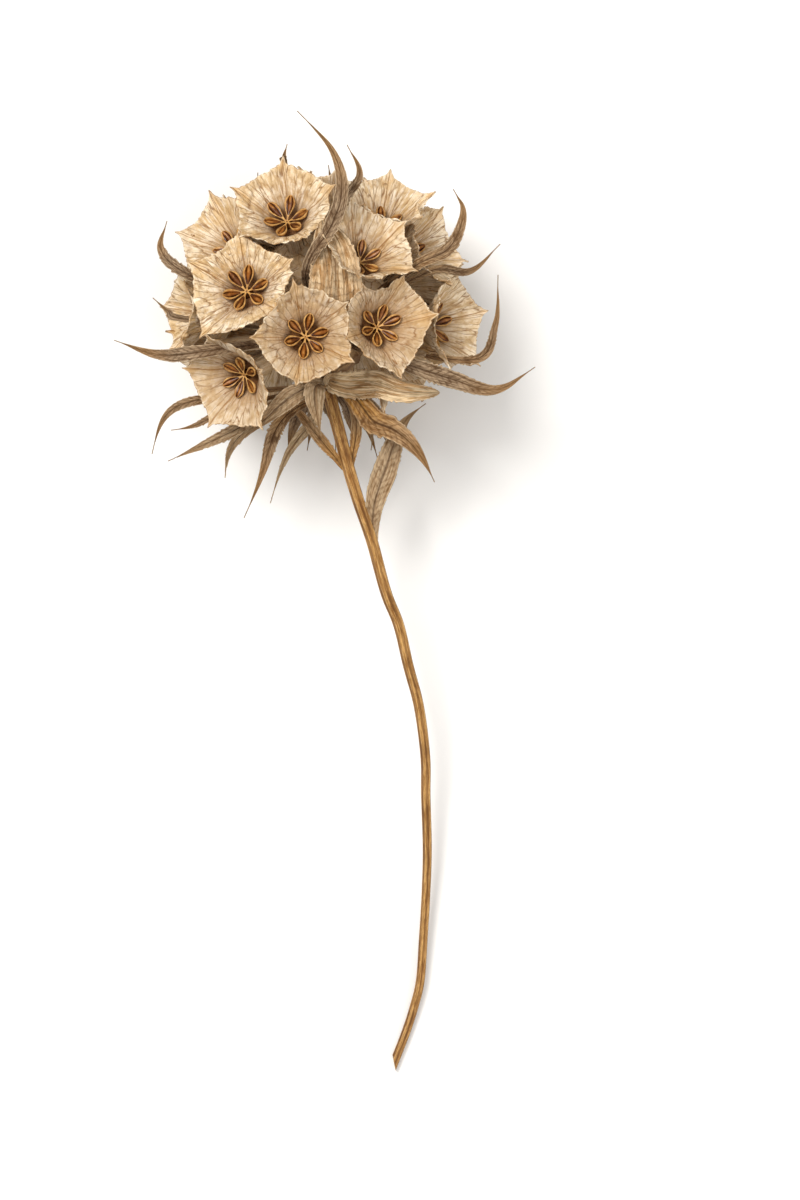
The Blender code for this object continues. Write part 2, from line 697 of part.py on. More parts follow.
def stem_solid(name, finish):
    path = smooth_path(STEM_PATH, STEM_SECTIONS)
    points = []
    faces = []
    for i, (centre, ahead) in enumerate(zip(path, directions(path))):
        t = i / (STEM_SECTIONS - 1)
        radius = STEM_TOP_RADIUS + (STEM_END_RADIUS - STEM_TOP_RADIUS) * min(1, 1.4 * t)
        side = ahead.cross(UP).normalized()
        over = side.cross(ahead)
        for k in range(STEM_SIDES):
            angle = 2 * math.pi * (k + 0.5) / STEM_SIDES
            point = centre + radius * (side * math.cos(angle) + over * math.sin(angle))
            if i == STEM_SECTIONS - 1:
                point -= ahead * STEM_CUT_SLANT * radius * math.cos(angle)
            points.append(point)
    rings = [range(STEM_SIDES * i, STEM_SIDES * (i + 1)) for i in range(STEM_SECTIONS)]
    faces = [tuple(rings[0]), tuple(rings[-1])]
    for lower, upper in zip(rings, rings[1:]):
        faces += ring_faces(lower, upper)
    return solid(name, points, faces, finish)


def make_leafy_stem(cups, finish):
    stem = stem_solid("leafy_stem", finish)
    leaves = []
    for *marks, width, taper_power in STEM_LEAVES:
        path = clear_path(smooth_path(marks, LEAF_SECTIONS), width, cups)
        leaves.append(blade("leaf", path, width, UP, taper_power, LEAF_TOOTH))
    fuse(stem, leaves)
    trim_below_surface(stem)
    keep_largest_shell(stem)


def main():
    clear_scene()
    cups = grow_cups()
    make_seed_head(cups, material("papery_cream", CREAM, 0.85))
    make_bract_whorl(cups, material("dry_grey_brown", GREY_BROWN, 0.8))
    make_leafy_stem(cups, material("straw_golden_brown", GOLDEN_BROWN, 0.6))


main()
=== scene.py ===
"""The finished look of a dried scabious seed head that lies on a pale floor.

Lengths are in millimetres until a mesh is made, which scales them to metres. The cups, bracts, leaves
and stem follow the same rules as the solid model, with more points.
"""

import math
import random
from collections import namedtuple

import bmesh
import bpy
import numpy as np
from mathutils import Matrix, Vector, noise


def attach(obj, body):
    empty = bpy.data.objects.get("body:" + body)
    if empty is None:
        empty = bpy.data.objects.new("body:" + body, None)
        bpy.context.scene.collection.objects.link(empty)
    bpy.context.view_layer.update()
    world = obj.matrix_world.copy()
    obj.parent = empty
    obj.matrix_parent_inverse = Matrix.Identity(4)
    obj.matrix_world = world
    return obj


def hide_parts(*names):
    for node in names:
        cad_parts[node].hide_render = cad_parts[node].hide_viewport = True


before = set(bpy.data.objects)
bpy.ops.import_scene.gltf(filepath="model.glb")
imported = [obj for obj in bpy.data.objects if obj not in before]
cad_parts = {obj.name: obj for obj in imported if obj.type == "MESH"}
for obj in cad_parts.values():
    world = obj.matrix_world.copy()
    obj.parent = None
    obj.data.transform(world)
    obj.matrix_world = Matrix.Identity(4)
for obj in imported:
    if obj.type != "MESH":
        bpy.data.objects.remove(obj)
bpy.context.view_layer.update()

MM = 0.001
SEED = 7
UP = Vector((0, 0, 1))
VECTOR = "FLOAT_VECTOR"

# The head
HEAD = Vector((-1.35, 61.4, 28.4))
HEAD_AXIS = Vector((-0.1, 0.985, 0.14)).normalized()
CORE_CENTRE = HEAD - 8.0 * HEAD_AXIS
CORE_RADIUS = 9.0
CROWN_CENTRE = HEAD - 1.0 * HEAD_AXIS
CROWN_RADIUS = 13.5

# Cups
CORNERS = 5
CORNER_STEP = 2 * math.pi / CORNERS
CORNER_SPREAD = math.radians(8)
CUP_HEIGHT = 8.0
FLOOR_RADIUS = 2.5
WALL = 0.65
TUBE_RADIUS = 1.5
FLARE = 0.85
CORNER_LIFT = 0.9
EDGE_SAG = 0.7
EDGE_BULGE = 0.07
CORNER_OVERLAP = 1.2
EDGE_GAP = 1.4
HIDDEN_CUPS = 13
HIDDEN_RADIUS = 9.6
HIDDEN_HEIGHT = -0.02
HIDDEN_REACH = 27.0
HIDDEN_FLATTEN = 0.16
STEM_CLEARING = math.radians(56)
# a mouth is drawn in step by step where a neighbour is in its way
NEIGHBOUR_REACH = 2.6 * HIDDEN_RADIUS
DRAW_IN_TRIES = 20
DRAW_IN_STEP = 0.02
LEAST_MOUTH = 0.62
# the tube under a cup: where it starts in the receptacle, how far below the floor it bends, its flutes
TUBE_ROOT = 0.7
TUBE_BENDS = (3.6, 1.9)
TUBE_FLUTES = 8
NEAR_CUP_TILT = 0.45
SEEN_CUPS = (
    ((-7.2, 16.9, 19.8), (-0.17, 0.46, 0.87), ((19, 10.8), (92, 9.3), (162, 9.8), (228, 10.4), (307, 9.8))),
    ((-14.9, 1.5, 22.6), (-0.14, 0.24, 0.96), ((22, 10.7), (94, 9.2), (160, 10.4), (237, 12.8), (321, 9.4))),
    ((-1.6, -9.0, 27.0), (0.10, 0.04, 0.99), ((39, 9.1), (106, 9.9), (184, 10.6), (256, 9.9), (328, 9.3))),
    ((10.3, 8.8, 23.8), (0.28, 0.48, 0.83), ((31, 8.8), (104, 9.8), (172, 8.8), (246, 8.2), (322, 10.0))),
    ((14.1, -6.1, 22.4), (0.34, 0.16, 0.93), ((7, 9.4), (69, 8.8), (128, 9.4), (203, 9.0), (278, 11.2))),
    ((-17.9, -18.4, 16.4), (-0.48, -0.28, 0.83),
     ((18, 8.8), (104, 9.6), (158, 8.8), (238, 9.0), (308, 10.6))),
    ((28.2, -6.2, 7.0), (0.86, 0.02, 0.5), 9.6),
    ((14.4, 19.0, 11.5), (0.24, 0.84, 0.48), 9.2),
    ((-28.2, -4.0, 6.0), (-0.96, 0.05, 0.28), 9.4),
    ((-20.6, 11.6, 11.0), (-0.66, 0.46, 0.6), 10.0),
    ((-25.8, -14.8, -2.5), (-0.88, -0.45, 0.1), 8.6),
    ((18.6, -16.2, 3.0), (0.7, -0.62, -0.1), 9.4),
    ((23.4, 10.4, 8.0), (0.8, 0.36, 0.46), 9.0),
)
REST_CUP = ((0.5, -2.6, -27.7), (0, 0, -1), 10.0)
# how far each of the first cups is darkened towards brown: painted shade for the cups that sit in less light
SEEN_CUP_SHADE = (0.15, 0.05, 0.95, 0.5, 0.95, 0.75, 0.2)

# Stars
ARMS = 6
ARM_LENGTH = 4.5
ARM_HEIGHT = 3.9
ARM_HALF_WIDTH = 0.94
ARM_FOOT = 1.25
STRAND_SHARE = 0.18
STRAND_HALF = 0.17
STAR_RADIUS_SHARE = 10.0
STAR_TURN = 0.3

# Bracts between the cups, and under the head
HEAD_BRACTS = (
    ((-2.1, 3.8, 22.0), (3.0, 12.2, 27.0), (5.0, 19.5, 29.5), (2.9, 27.0, 28.6), (-3.8, 34.6, 26.5), 3.1),
    ((4.5, 15.1, 22.0), (8.4, 22.2, 24.5), (5.9, 28.3, 22.5), 2.0),
    ((-6.2, 23.6, 13.5), (-6.6, 26.3, 14.5), (-6.0, 29.1, 14.0), 1.4),
    ((-24.5, 2.7, 16.0), (-30.8, 8.0, 14.0), (-29.8, 14.0, 12.5), 2.4),
    ((-26.4, -5.4, 13.0), (-29.6, -3.8, 12.0), (-32.7, -1.1, 10.5), 1.5),
    ((-21.5, -11.9, 17.0), (-31.2, -12.5, 13.0), (-40.4, -9.5, 10.5), 3.0),
    ((18.7, 4.4, 18.5), (26.0, 8.4, 16.5), (28.8, 15.4, 15.0), (26.8, 20.2, 14.0), 2.7),
    ((21.8, 3.9, 12.5), (30.2, 4.2, 10.0), (36.2, 9.7, 8.0), 1.9),
    ((30.2, -13.4, 9.0), (35.2, -6.5, 7.0), (35.8, 3.7, 6.0), 1.9),
    ((15.9, -13.9, 17.0), (26.0, -17.2, 14.0), (35.2, -19.4, 11.5), (43.1, -14.8, 10.0), 3.8),
    ((3.4, -4.0, 18.5), (3.4, 5.5, 23.0), (1.0, 13.5, 22.5), 11.0),
)
HIDDEN_BRACTS = 7
HIDDEN_BRACT_REACH = (27.0, 30.0, 33.0)
HIDDEN_BRACT_HEIGHTS = (-0.75, -0.4)
HIDDEN_BRACT_WIDTH = 2.3
COLLAR_CENTRE = HEAD - 18.0 * HEAD_AXIS
COLLAR_RADIUS = 3.6
COLLAR_THICKNESS = 1.4
BRACT_ROOT = 0.75
WHORL_BRACTS = (
    ((-23.2, -20.5, 6.5), (-31.2, -23.1, 4), (-33.3, -31.8, 0), 2.0),
    ((-21.2, -23.9, 5.5), (-24.0, -26.5, 4), (-29.4, -27.1, 2), 1.5),
    ((-13.6, -26.0, 5), (-22.6, -30.0, 4), (-30.0, -33.3, 3), 2.6),
    ((-14.4, -26.3, -2), (-18.4, -30.9, -3), (-18.8, -36.5, -4), 2.1),
    ((-3.9, -18.9, 9), (-9.5, -24.3, 10), (-14.4, -28.9, 10), 4.2),
    ((-6.4, -23.2, 3), (-10.2, -28.2, 2.5), (-9.9, -34.8, 1.5), (-14.9, -44.6, 0), 3.0),
    ((0.2, -25.3, -7), (-6.6, -29.9, -7), (-9.8, -41.5, -8), 2.4),
    ((-1.0, -17.9, 8), (-0.5, -23.0, 8.5), (0.6, -28.4, 6), 4.4),
    ((5.4, -18.3, 7), (11.0, -22.0, 6.2), (17.0, -27.0, 5), (21.6, -32.2, 4), (23.2, -37.5, 3), 5.0),
    ((8.4, -21.7, -8), (10.9, -26.0, -9), (10.5, -30.8, -10), 2.0),
    ((4.4, -15.6, 10.5), (13.8, -17.6, 9.8), (24.6, -19.3, 8.5), 6.0),
)
UNDER_BRACTS = 9
UNDER_SWING = math.radians(160)
SURFACE_CLEARANCE = 1.6
BLADE_CLEARANCE = 0.5
CLEARING_ROUNDS = 8
BLADE_SECTIONS = 12
LEAF_SECTIONS = 18
ROOT_WIDTH = 0.35
THINNEST_HALF = 0.09
SWELL = 1.5
TAPER_START = 0.4
HEAD_TAPER = 1.45
WHORL_TAPER = 1.6
BROAD_TAPER = 0.55
BROAD_WIDTH = 5.5
FULL_DEPTH_WIDTH = 4.5

# Stem and leaves
STEM_PATH = (
    (0.55, 42.6, 25.7), (1.25, 40.0, 25.2), (3.05, 33.1, 24.3), (4.55, 27.3, 23.3), (6.65, 20.3, 22.0),
    (9.35, 12.3, 20.2), (12.15, 2.0, 17.6), (14.75, -4.7, 15.8), (16.65, -12.8, 13.7), (18.85, -21.3, 11.6),
    (20.15, -31.5, 9.3), (20.25, -39.5, 7.7), (20.55, -50.6, 5.6), (20.25, -60.4, 4.0), (19.75, -68.7, 2.9),
    (19.15, -77.3, 1.9), (17.85, -82.9, 1.4), (16.15, -88.2, 1.05), (13.75, -94.4, 0.9),
)
STEM_TOP_RADIUS = 1.45
STEM_END_RADIUS = 0.95
STEM_SECTIONS = 40
STEM_CUT_SLANT = 1.6
STEM_LEAVES = (
    ((3.65, 26.7, 23.0), (1.65, 29.5, 23.6), (-1.45, 33.1, 25.0), (-4.85, 37.3, 26.6),
     (-6.25, 39.8, 27.6), 2.4, 0.6),
    ((4.95, 25.9, 23.0), (5.55, 30.3, 24.0), (6.35, 34.5, 25.2), (5.95, 38.3, 26.6),
     (3.95, 41.4, 28.0), 2.3, 0.6),
    ((9.65, 12.3, 20.4), (9.35, 16.9, 21.5), (9.75, 21.1, 22.8), (12.55, 27.5, 24.2),
     (14.35, 34.1, 25.2), (15.95, 36.9, 25.6), (20.15, 40.3, 25.6), 5.0, 1.7),
)

# How golden and how pale the bracts are, by their places in the tables above
HEAD_GOLDEN = (6, 7, 8)
WHORL_GOLDEN = {0: 0.35, 1: 0.35, 2: 0.2, 3: 0.2, 5: 0.45, 6: 0.3, 8: 1.0, 9: 0.3, 10: 0.4}
WHORL_PALE = {2: 0.25, 3: 0.5, 4: 0.35, 6: 0.6, 7: 0.4, 9: 0.5, 10: 1.0}
LEAF_TONES = ((0.9, 0.1), (0.9, 0.1), (0.1, 0.28))
# what the finishes read on the round bodies that the rest grows from
CHAFF = {"along": 0.3, "across": 0.5, "golden": 0.45, "pale": 0.1}
HUSK = {"share": 0.5, "outside": 1.0, "tint": 0.9}

# How fine the finished pieces are
CUP_TURNS = {"near": 220, "far": 110}
CUP_RINGS = {"near": 40, "far": 20}
BLADE_STEPS = 130
STEM_STEPS = 420
STEM_SIDES = 48

# The view and the light
VIEW_MIDDLE = (14.95, 0.4)
VIEW_HEIGHT = 1200
VIEW_TALL = 240
SENSOR = 36
FLOOR_HALF = 6.0
WARM = (1.0, 0.97, 0.93)
LIGHT_AIM = Vector((0, 0, 0.02))


# Sums on sockets


def joined(operation, first=True):
    """A method that joins a socket and another value by one operation."""

    def method(socket, other):
        values = [socket, other] if first else [other, socket]
        return add(socket.tree, "ShaderNodeMath", {"operation": operation}, values)

    return method


class Socket:
    """The output of a node, which can be used in sums."""

    def __init__(self, tree, out):
        self.tree = tree
        self.out = out

    __add__ = __radd__ = joined("ADD")
    __sub__ = joined("SUBTRACT")
    __rsub__ = joined("SUBTRACT", False)
    __mul__ = joined("MULTIPLY")
    __truediv__ = joined("DIVIDE")
    __pow__ = joined("POWER")

    def of(self, operation):
        return add(self.tree, "ShaderNodeMath", {"operation": operation}, [self])

    def step(self, low, high):
        """0 below low and 1 above high, with a smooth rise between them."""
        values = {"Value": self, "From Min": low, "From Max": high}
        return add(self.tree, "ShaderNodeMapRange", {"interpolation_type": "SMOOTHSTEP"}, values)

    def fall(self, low, high):
        """1 below low and 0 above high."""
        return 1 - self.step(low, high)

    def axis(self, letter):
        return add(self.tree, "ShaderNodeSeparateXYZ", {}, [self], letter)

    def vector(self, operation, *others, out=0):
        return add(self.tree, "ShaderNodeVectorMath", {"operation": operation}, [self, *others], out)

    def times(self, other):
        """A vector stretched by a number or a vector."""
        if isinstance(other, Socket):
            return add(self.tree, "ShaderNodeVectorMath", {"operation": "SCALE"}, {0: self, "Scale": other})
        return self.vector("MULTIPLY", other)

    def plus(self, other):
        return self.vector("ADD", other)


def add(tree, kind, settings=None, values=(), out=0):
    """Any node: its settings first, then what its sockets hold or are linked to."""
    node = tree.nodes.new(kind)
    for name, value in (settings or {}).items():
        setattr(node, name, value)
    for key, value in values.items() if isinstance(values, dict) else enumerate(values):
        if isinstance(value, Socket):
            tree.links.new(value.out, node.inputs[key])
        else:
            node.inputs[key].default_value = value
    return Socket(tree, node.outputs[out])


class Finish:
    """A material under construction, with the patterns that the finishes share."""

    def __init__(self, name, roughness, gloss=0.3):
        self.material = bpy.data.materials.new(name)
        self.material.use_nodes = True
        self.tree = self.material.node_tree
        self.shader = self.tree.nodes["Principled BSDF"]
        self.shader.inputs["Roughness"].default_value = roughness
        self.shader.inputs["Specular IOR Level"].default_value = gloss
        self.place = add(self.tree, "ShaderNodeTexCoord", out="Object")

    def kept(self, names, out="Fac"):
        """What the mesh keeps at its points, one socket for each name."""
        return [add(self.tree, "ShaderNodeAttribute", {"attribute_name": n}, out=out) for n in names.split()]

    def mottle(self, where, scale, detail=3.0, roughness=0.55, out=0):
        values = {"Vector": where, "Scale": scale, "Detail": detail, "Roughness": roughness}
        return add(self.tree, "ShaderNodeTexNoise", {}, values, out)

    def stirred(self, where, scale, amount):
        """Coordinates pushed about by noise, so that a pattern on them loses its regularity."""
        push = self.mottle(where, scale, 2.0, out="Color").plus((-0.5, -0.5, -0.5))
        return where.plus(push.times((amount, amount, amount)))

    def cracks(self, where, scale):
        """The distance to the nearest edge of a net of cells."""
        values = {"Vector": where, "Scale": scale}
        return add(self.tree, "ShaderNodeTexVoronoi", {"feature": "DISTANCE_TO_EDGE"}, values, "Distance")

    def blend(self, share, low, high):
        low = (*low, 1) if isinstance(low, tuple) else low
        high = (*high, 1) if isinstance(high, tuple) else high
        return add(self.tree, "ShaderNodeMix", {"data_type": "RGBA"}, {0: share, 6: low, 7: high}, 2)

    def layered(self, colour, *layers):
        """A colour with others laid over it in turn, each by its own share."""
        for share, over in layers:
            colour = self.blend(share, colour, over)
        return colour

    def done(self, colour, relief=None, depth=0.3, distance=0.0002, roughness=None):
        self.tree.links.new(colour.out, self.shader.inputs["Base Color"])
        if relief is not None:
            values = {"Strength": depth, "Distance": distance, "Height": relief}
            bump = add(self.tree, "ShaderNodeBump", {}, values)
            self.tree.links.new(bump.out, self.shader.inputs["Normal"])
        if roughness is not None:
            self.tree.links.new(roughness.out, self.shader.inputs["Roughness"])
        return self.material


# Finishes


def papery_finish():
    """Cream paper with golden corners, brown ribs, fine veins and a pale rim, with painted shade in the
    throat, in the folds and on the cups that sit in less light.
    """
    f = Finish("papery_cream", 0.8, 0.25)
    share, rib, corner, outside, tint, crease = f.kept("share rib corner outside tint crease")
    (grain,) = f.kept("grain", "Vector")
    patches = f.mottle(f.place, 330.0, 4.0, 0.6)
    clouds = f.mottle(f.place, 95.0, 2.0)
    streaks = f.mottle(f.stirred(grain, 0.6, 1.2), 1.15, 4.0, 0.6)
    net = f.cracks(f.stirred(f.place, 420.0, 0.0022), 640.0)
    veins = f.cracks(f.stirred(grain.times((1.0, 1.0, 0.5)), 0.8, 1.0), 0.62)
    fine = f.mottle(f.stirred(f.place, 300.0, 0.002), 1500.0, 3.0)
    inside = 1 - outside
    colour = f.layered(
        f.blend(patches.step(0.36, 0.64), (0.65, 0.485, 0.285), (0.93, 0.815, 0.625)),
        (clouds.step(0.48, 0.66) * 0.5, (0.68, 0.455, 0.19)),
        (streaks.step(0.50, 0.68) * 0.8, (0.97, 0.885, 0.75)),
        (streaks.fall(0.31, 0.49) * 0.75, (0.40, 0.225, 0.085)),
        (fine.step(0.56, 0.72) * 0.2, (0.42, 0.24, 0.095)),
        (net.fall(0.0, 0.12) * 0.13, (0.40, 0.22, 0.085)),
        # darker brown cup by cup: painted shade on the first cups, a random tone on the others and on the
        # crown
        (tint * 0.62, (0.42, 0.28, 0.155)),
        (outside * 0.25, (0.48, 0.31, 0.155)),
        (corner * clouds.step(0.32, 0.58) * 0.42, (0.70, 0.40, 0.125)),
        # painted shade that deepens towards the floor inside each cup, then veins that break off in places
        (share.fall(0.05, 0.80) * inside * (0.56 + tint * 0.14), (0.37, 0.215, 0.10)),
        (veins.fall(0.0, 0.06) * (patches.step(0.34, 0.56) * 0.65 + 0.2), (0.23, 0.105, 0.028)),
        # painted shade in the crumpled folds
        (crease * 0.16, (0.40, 0.23, 0.09)),
        (rib.step(0.35, 0.95) * 0.75, (0.29, 0.135, 0.034)),
        # painted shade in the throat, then the pale rim and the brown notches in it
        (share.fall(-0.02, 0.24) * inside * 0.88, (0.17, 0.055, 0.008)),
        (share.step(0.955, 0.99) * 0.5, (0.92, 0.79, 0.58)),
        (share.step(0.972, 1.0) * streaks.fall(0.44, 0.60) * 0.85, (0.36, 0.19, 0.065)),
    )
    relief = streaks * 0.9 + net.step(0.0, 0.22) * 0.25 + veins.step(0.0, 0.10) * 0.5 + fine * 0.3
    return f.done(colour, relief, 0.5, 0.00035, 0.72 + patches * 0.2)


def star_finish():
    """Glossy brown hollows and hulls with golden margins, and a painted orange highlight towards each arm's
    tip.
    """
    f = Finish("glossy_star_brown", 0.3, 0.34)
    edge, along = f.kept("edge along")
    streaks = f.mottle(f.place, 1100.0, 3.0)
    clouds = f.mottle(f.place, 420.0, 2.0)
    light = f.blend(streaks.step(0.3, 0.7), (0.34, 0.155, 0.035), (0.64, 0.38, 0.13))
    dark = f.blend(streaks.step(0.35, 0.7), (0.030, 0.006, 0.0005), (0.095, 0.026, 0.002))
    body = f.blend(clouds.step(0.36, 0.64), (0.10, 0.027, 0.003), (0.31, 0.105, 0.014))
    # a painted highlight: an orange patch on the crest of each body towards its tip
    painted_tip_highlight = along.step(0.5, 0.75) * edge.step(0.16, 0.34) * streaks.step(0.42, 0.62)
    colour = f.layered(
        dark,
        (edge.step(0.06, 0.34) * along.step(0.15, 0.6), body),
        (painted_tip_highlight * 0.75, (0.52, 0.25, 0.065)),
        (edge.step(0.60, 0.82), light),
    )
    return f.done(colour, streaks, 0.2, 0.0001, 0.17 + streaks * 0.16 + edge * 0.22)


def bract_finish(name):
    """A dry toothed bract: lengthwise ribs, side veins, a dark midrib, pale margins and a browner tip."""
    f = Finish(name, 0.78, 0.25)
    along, across, golden, pale, run = f.kept("along across golden pale run")
    (grain,) = f.kept("grain", "Vector")
    fibres = f.mottle(f.stirred(grain, 0.5, 0.7), 1.0, 5.0, 0.65)
    threads = f.mottle(grain.times((2.4, 2.4, 0.8)), 1.6, 3.0, 0.6)
    blotches = f.mottle(f.place, 300.0, 4.0, 0.6)
    flames = f.mottle(f.stirred(grain.times((0.4, 0.4, 0.35)), 0.8, 0.9), 1.0, 4.0, 0.6)
    fissures = f.cracks(f.stirred(grain.times((0.5, 0.5, 0.28)), 0.9, 0.8), 0.8).fall(0.0, 0.07)
    edges = across.of("ABSOLUTE")
    ribs = (across * 12.0 + fibres * 5.0).of("COSINE") * 0.5 + 0.5
    # side veins leave the midrib at a slant, about one for each 1.5 mm of length
    slant = (run * 4200.0 - edges * 9.0 + fibres * 9.0).of("COSINE").step(0.45, 1.0)
    middle = edges.fall(0.03, 0.13)
    tip = along.step(0.48, 0.85) * (1 - pale)
    inner = golden * (1 - along.step(0.28, 0.68) * 0.8) * (0.6 + flames.step(0.36, 0.56) * 0.4)
    grey = f.blend(fibres.step(0.34, 0.62), (0.11, 0.060, 0.027), (0.46, 0.33, 0.21))
    gold = f.blend(fibres.step(0.34, 0.62), (0.29, 0.115, 0.015), (0.66, 0.345, 0.08))
    brown = f.blend(fibres.step(0.3, 0.7), (0.15, 0.062, 0.014), (0.50, 0.265, 0.09))
    cream = f.layered(
        f.blend(fibres.step(0.30, 0.56), (0.60, 0.375, 0.165), (0.95, 0.77, 0.51)),
        (flames.fall(0.42, 0.50) * (0.55 + golden * 0.45), (0.42, 0.205, 0.055)),
        (fissures * (0.3 + golden * 0.7), (0.17, 0.082, 0.026)),
    )
    furrow = f.layered((0.080, 0.036, 0.012), (inner, (0.20, 0.074, 0.010)), (pale, (0.44, 0.245, 0.09)))
    colour = f.layered(
        grey,
        (inner, gold),
        (pale, cream),
        (threads.step(0.54, 0.66) * (0.34 + pale * 0.16 - inner * 0.2), (0.64, 0.475, 0.295)),
        (blotches.step(0.52, 0.66) * (0.72 - pale * 0.6), (0.10, 0.046, 0.015)),
        (ribs * (0.36 - pale * 0.22), furrow),
        (slant * blotches.step(0.32, 0.56) * (0.55 - pale * 0.5), furrow),
        (middle * (0.85 - pale * 0.6), (0.085, 0.038, 0.013)),
        (tip * 0.6, brown),
        (edges.step(0.82, 0.95) * (0.6 - inner * 0.35), (0.66, 0.50, 0.32)),
        (edges.step(0.96, 1.0) * 0.75, (0.11, 0.047, 0.014)),
    )
    relief = fibres * 0.9 + ribs * 0.3 - middle * 0.9 - slant * 0.5 + threads * 0.3 - fissures * pale * 0.8
    return f.done(colour, relief, 0.7, 0.0003, 0.62 + blotches * 0.25)


def stem_finish():
    """A ridged golden-brown straw stem with flecks, a pale cut end, painted shade in its furrows and a
    painted highlight along its ridges.
    """
    f = Finish("straw_golden_brown", 0.5, 0.25)
    along, ridge = f.kept("along ridge")
    (grain,) = f.kept("grain", "Vector")
    fibres = f.mottle(grain, 1.0, 5.0, 0.65)
    flecks = f.mottle(grain.times((1.0, 1.0, 3.0)), 1.3, 2.0)
    blotches = f.mottle(f.place, 150.0, 3.0)
    strokes = f.mottle(f.stirred(grain.times((0.55, 0.55, 0.3)), 0.6, 0.8), 1.0, 4.0, 0.6)
    colour = f.layered(
        f.blend(fibres.step(0.32, 0.64), (0.24, 0.096, 0.016), (0.66, 0.38, 0.13)),
        (blotches.step(0.48, 0.66) * 0.4, (0.20, 0.090, 0.024)),
        (strokes.fall(0.40, 0.52) * 0.6, (0.19, 0.070, 0.010)),
        # painted shade in the furrows between the ridges
        (ridge.fall(0.05, 0.65) * (blotches.step(0.40, 0.60) * 0.4 + 0.45), (0.12, 0.042, 0.007)),
        # a painted highlight along the ridge tops
        (ridge.step(0.72, 1.0) * fibres.step(0.42, 0.6) * 0.6, (0.69, 0.45, 0.19)),
        (flecks.step(0.58, 0.68) * 0.5, (0.10, 0.040, 0.010)),
        (along.step(0.9991, 0.9997), (0.62, 0.47, 0.28)),
    )
    return f.done(colour, fibres + ridge * 0.4, 0.7, 0.0003, 0.42 + fibres * 0.25)


def floor_finish():
    f = Finish("plain_floor", 0.9)
    fine = f.mottle(f.place, 40.0, 2.0)
    return f.done(f.blend(fine, (0.86, 0.86, 0.855), (0.90, 0.90, 0.895)))


# Meshes


def linked(name, data):
    """A new object in the scene."""
    made = bpy.data.objects.new(name, data)
    bpy.context.scene.collection.objects.link(made)
    return made


def keep(mesh, facts):
    """Numbers and vectors kept at the mesh's points, under their names."""
    for label, values in facts.items():
        values = np.asarray(values, np.float32)
        kind, field = ("FLOAT", "value") if values.ndim == 1 else ("FLOAT_VECTOR", "vector")
        mesh.attributes.new(label, kind, "POINT").data.foreach_set(field, values.ravel())


def turn_faces_out(mesh):
    shell = bmesh.new()
    shell.from_mesh(mesh)
    bmesh.ops.recalc_face_normals(shell, faces=shell.faces)
    shell.to_mesh(mesh)
    shell.free()


def mesh_piece(name, points, faces, finish, facts):
    """A smooth closed mesh object from points in millimetres."""
    mesh = bpy.data.meshes.new(name)
    points = np.asarray(points, np.float32) * MM
    mesh.from_pydata(points.tolist(), [], faces)
    keep(mesh, facts)
    if finish:
        mesh.materials.append(finish)
    mesh.shade_smooth()
    turn_faces_out(mesh)
    return linked(name, mesh)


def tube_faces(rings, sides, base=0):
    """The faces between rings of points that lie one after another, with a cap at either end."""
    faces = []
    for low in range(base, base + (rings - 1) * sides, sides):
        for k in range(sides):
            after = (k + 1) % sides
            faces.append((low + k, low + after, low + sides + after, low + sides + k))
    faces.append(tuple(range(base, base + sides))[::-1])
    faces.append(tuple(range(base + (rings - 1) * sides, base + rings * sides)))
    return faces


def smooth_path(points, count):
    """This many points along a smooth curve through the given ones."""
    points = [Vector(p) for p in points]
    held = [2 * points[0] - points[1], *points, 2 * points[-1] - points[-2]]
    path = []
    for i in range(count):
        along = i / (count - 1) * (len(points) - 1)
        k = min(int(along), len(points) - 2)
        t = along - k
        a, b, c, d = held[k : k + 4]
        square = (2 * a - 5 * b + 4 * c - d) * t**2
        cube = (3 * b - 3 * c + d - a) * t**3
        path.append(0.5 * (2 * b + (c - a) * t + square + cube))
    return path


def directions(path):
    last = len(path) - 1
    return [(path[min(i + 1, last)] - path[max(i - 1, 0)]).normalized() for i in range(last + 1)]


def spread_directions(count):
    turn = math.pi * (3 - math.sqrt(5))
    found = []
    for i in range(count):
        height = 1 - (2 * i + 1) / count
        across = math.sqrt(1 - height * height)
        found.append(Vector((across * math.cos(i * turn), across * math.sin(i * turn), height)))
    return found


# Cups


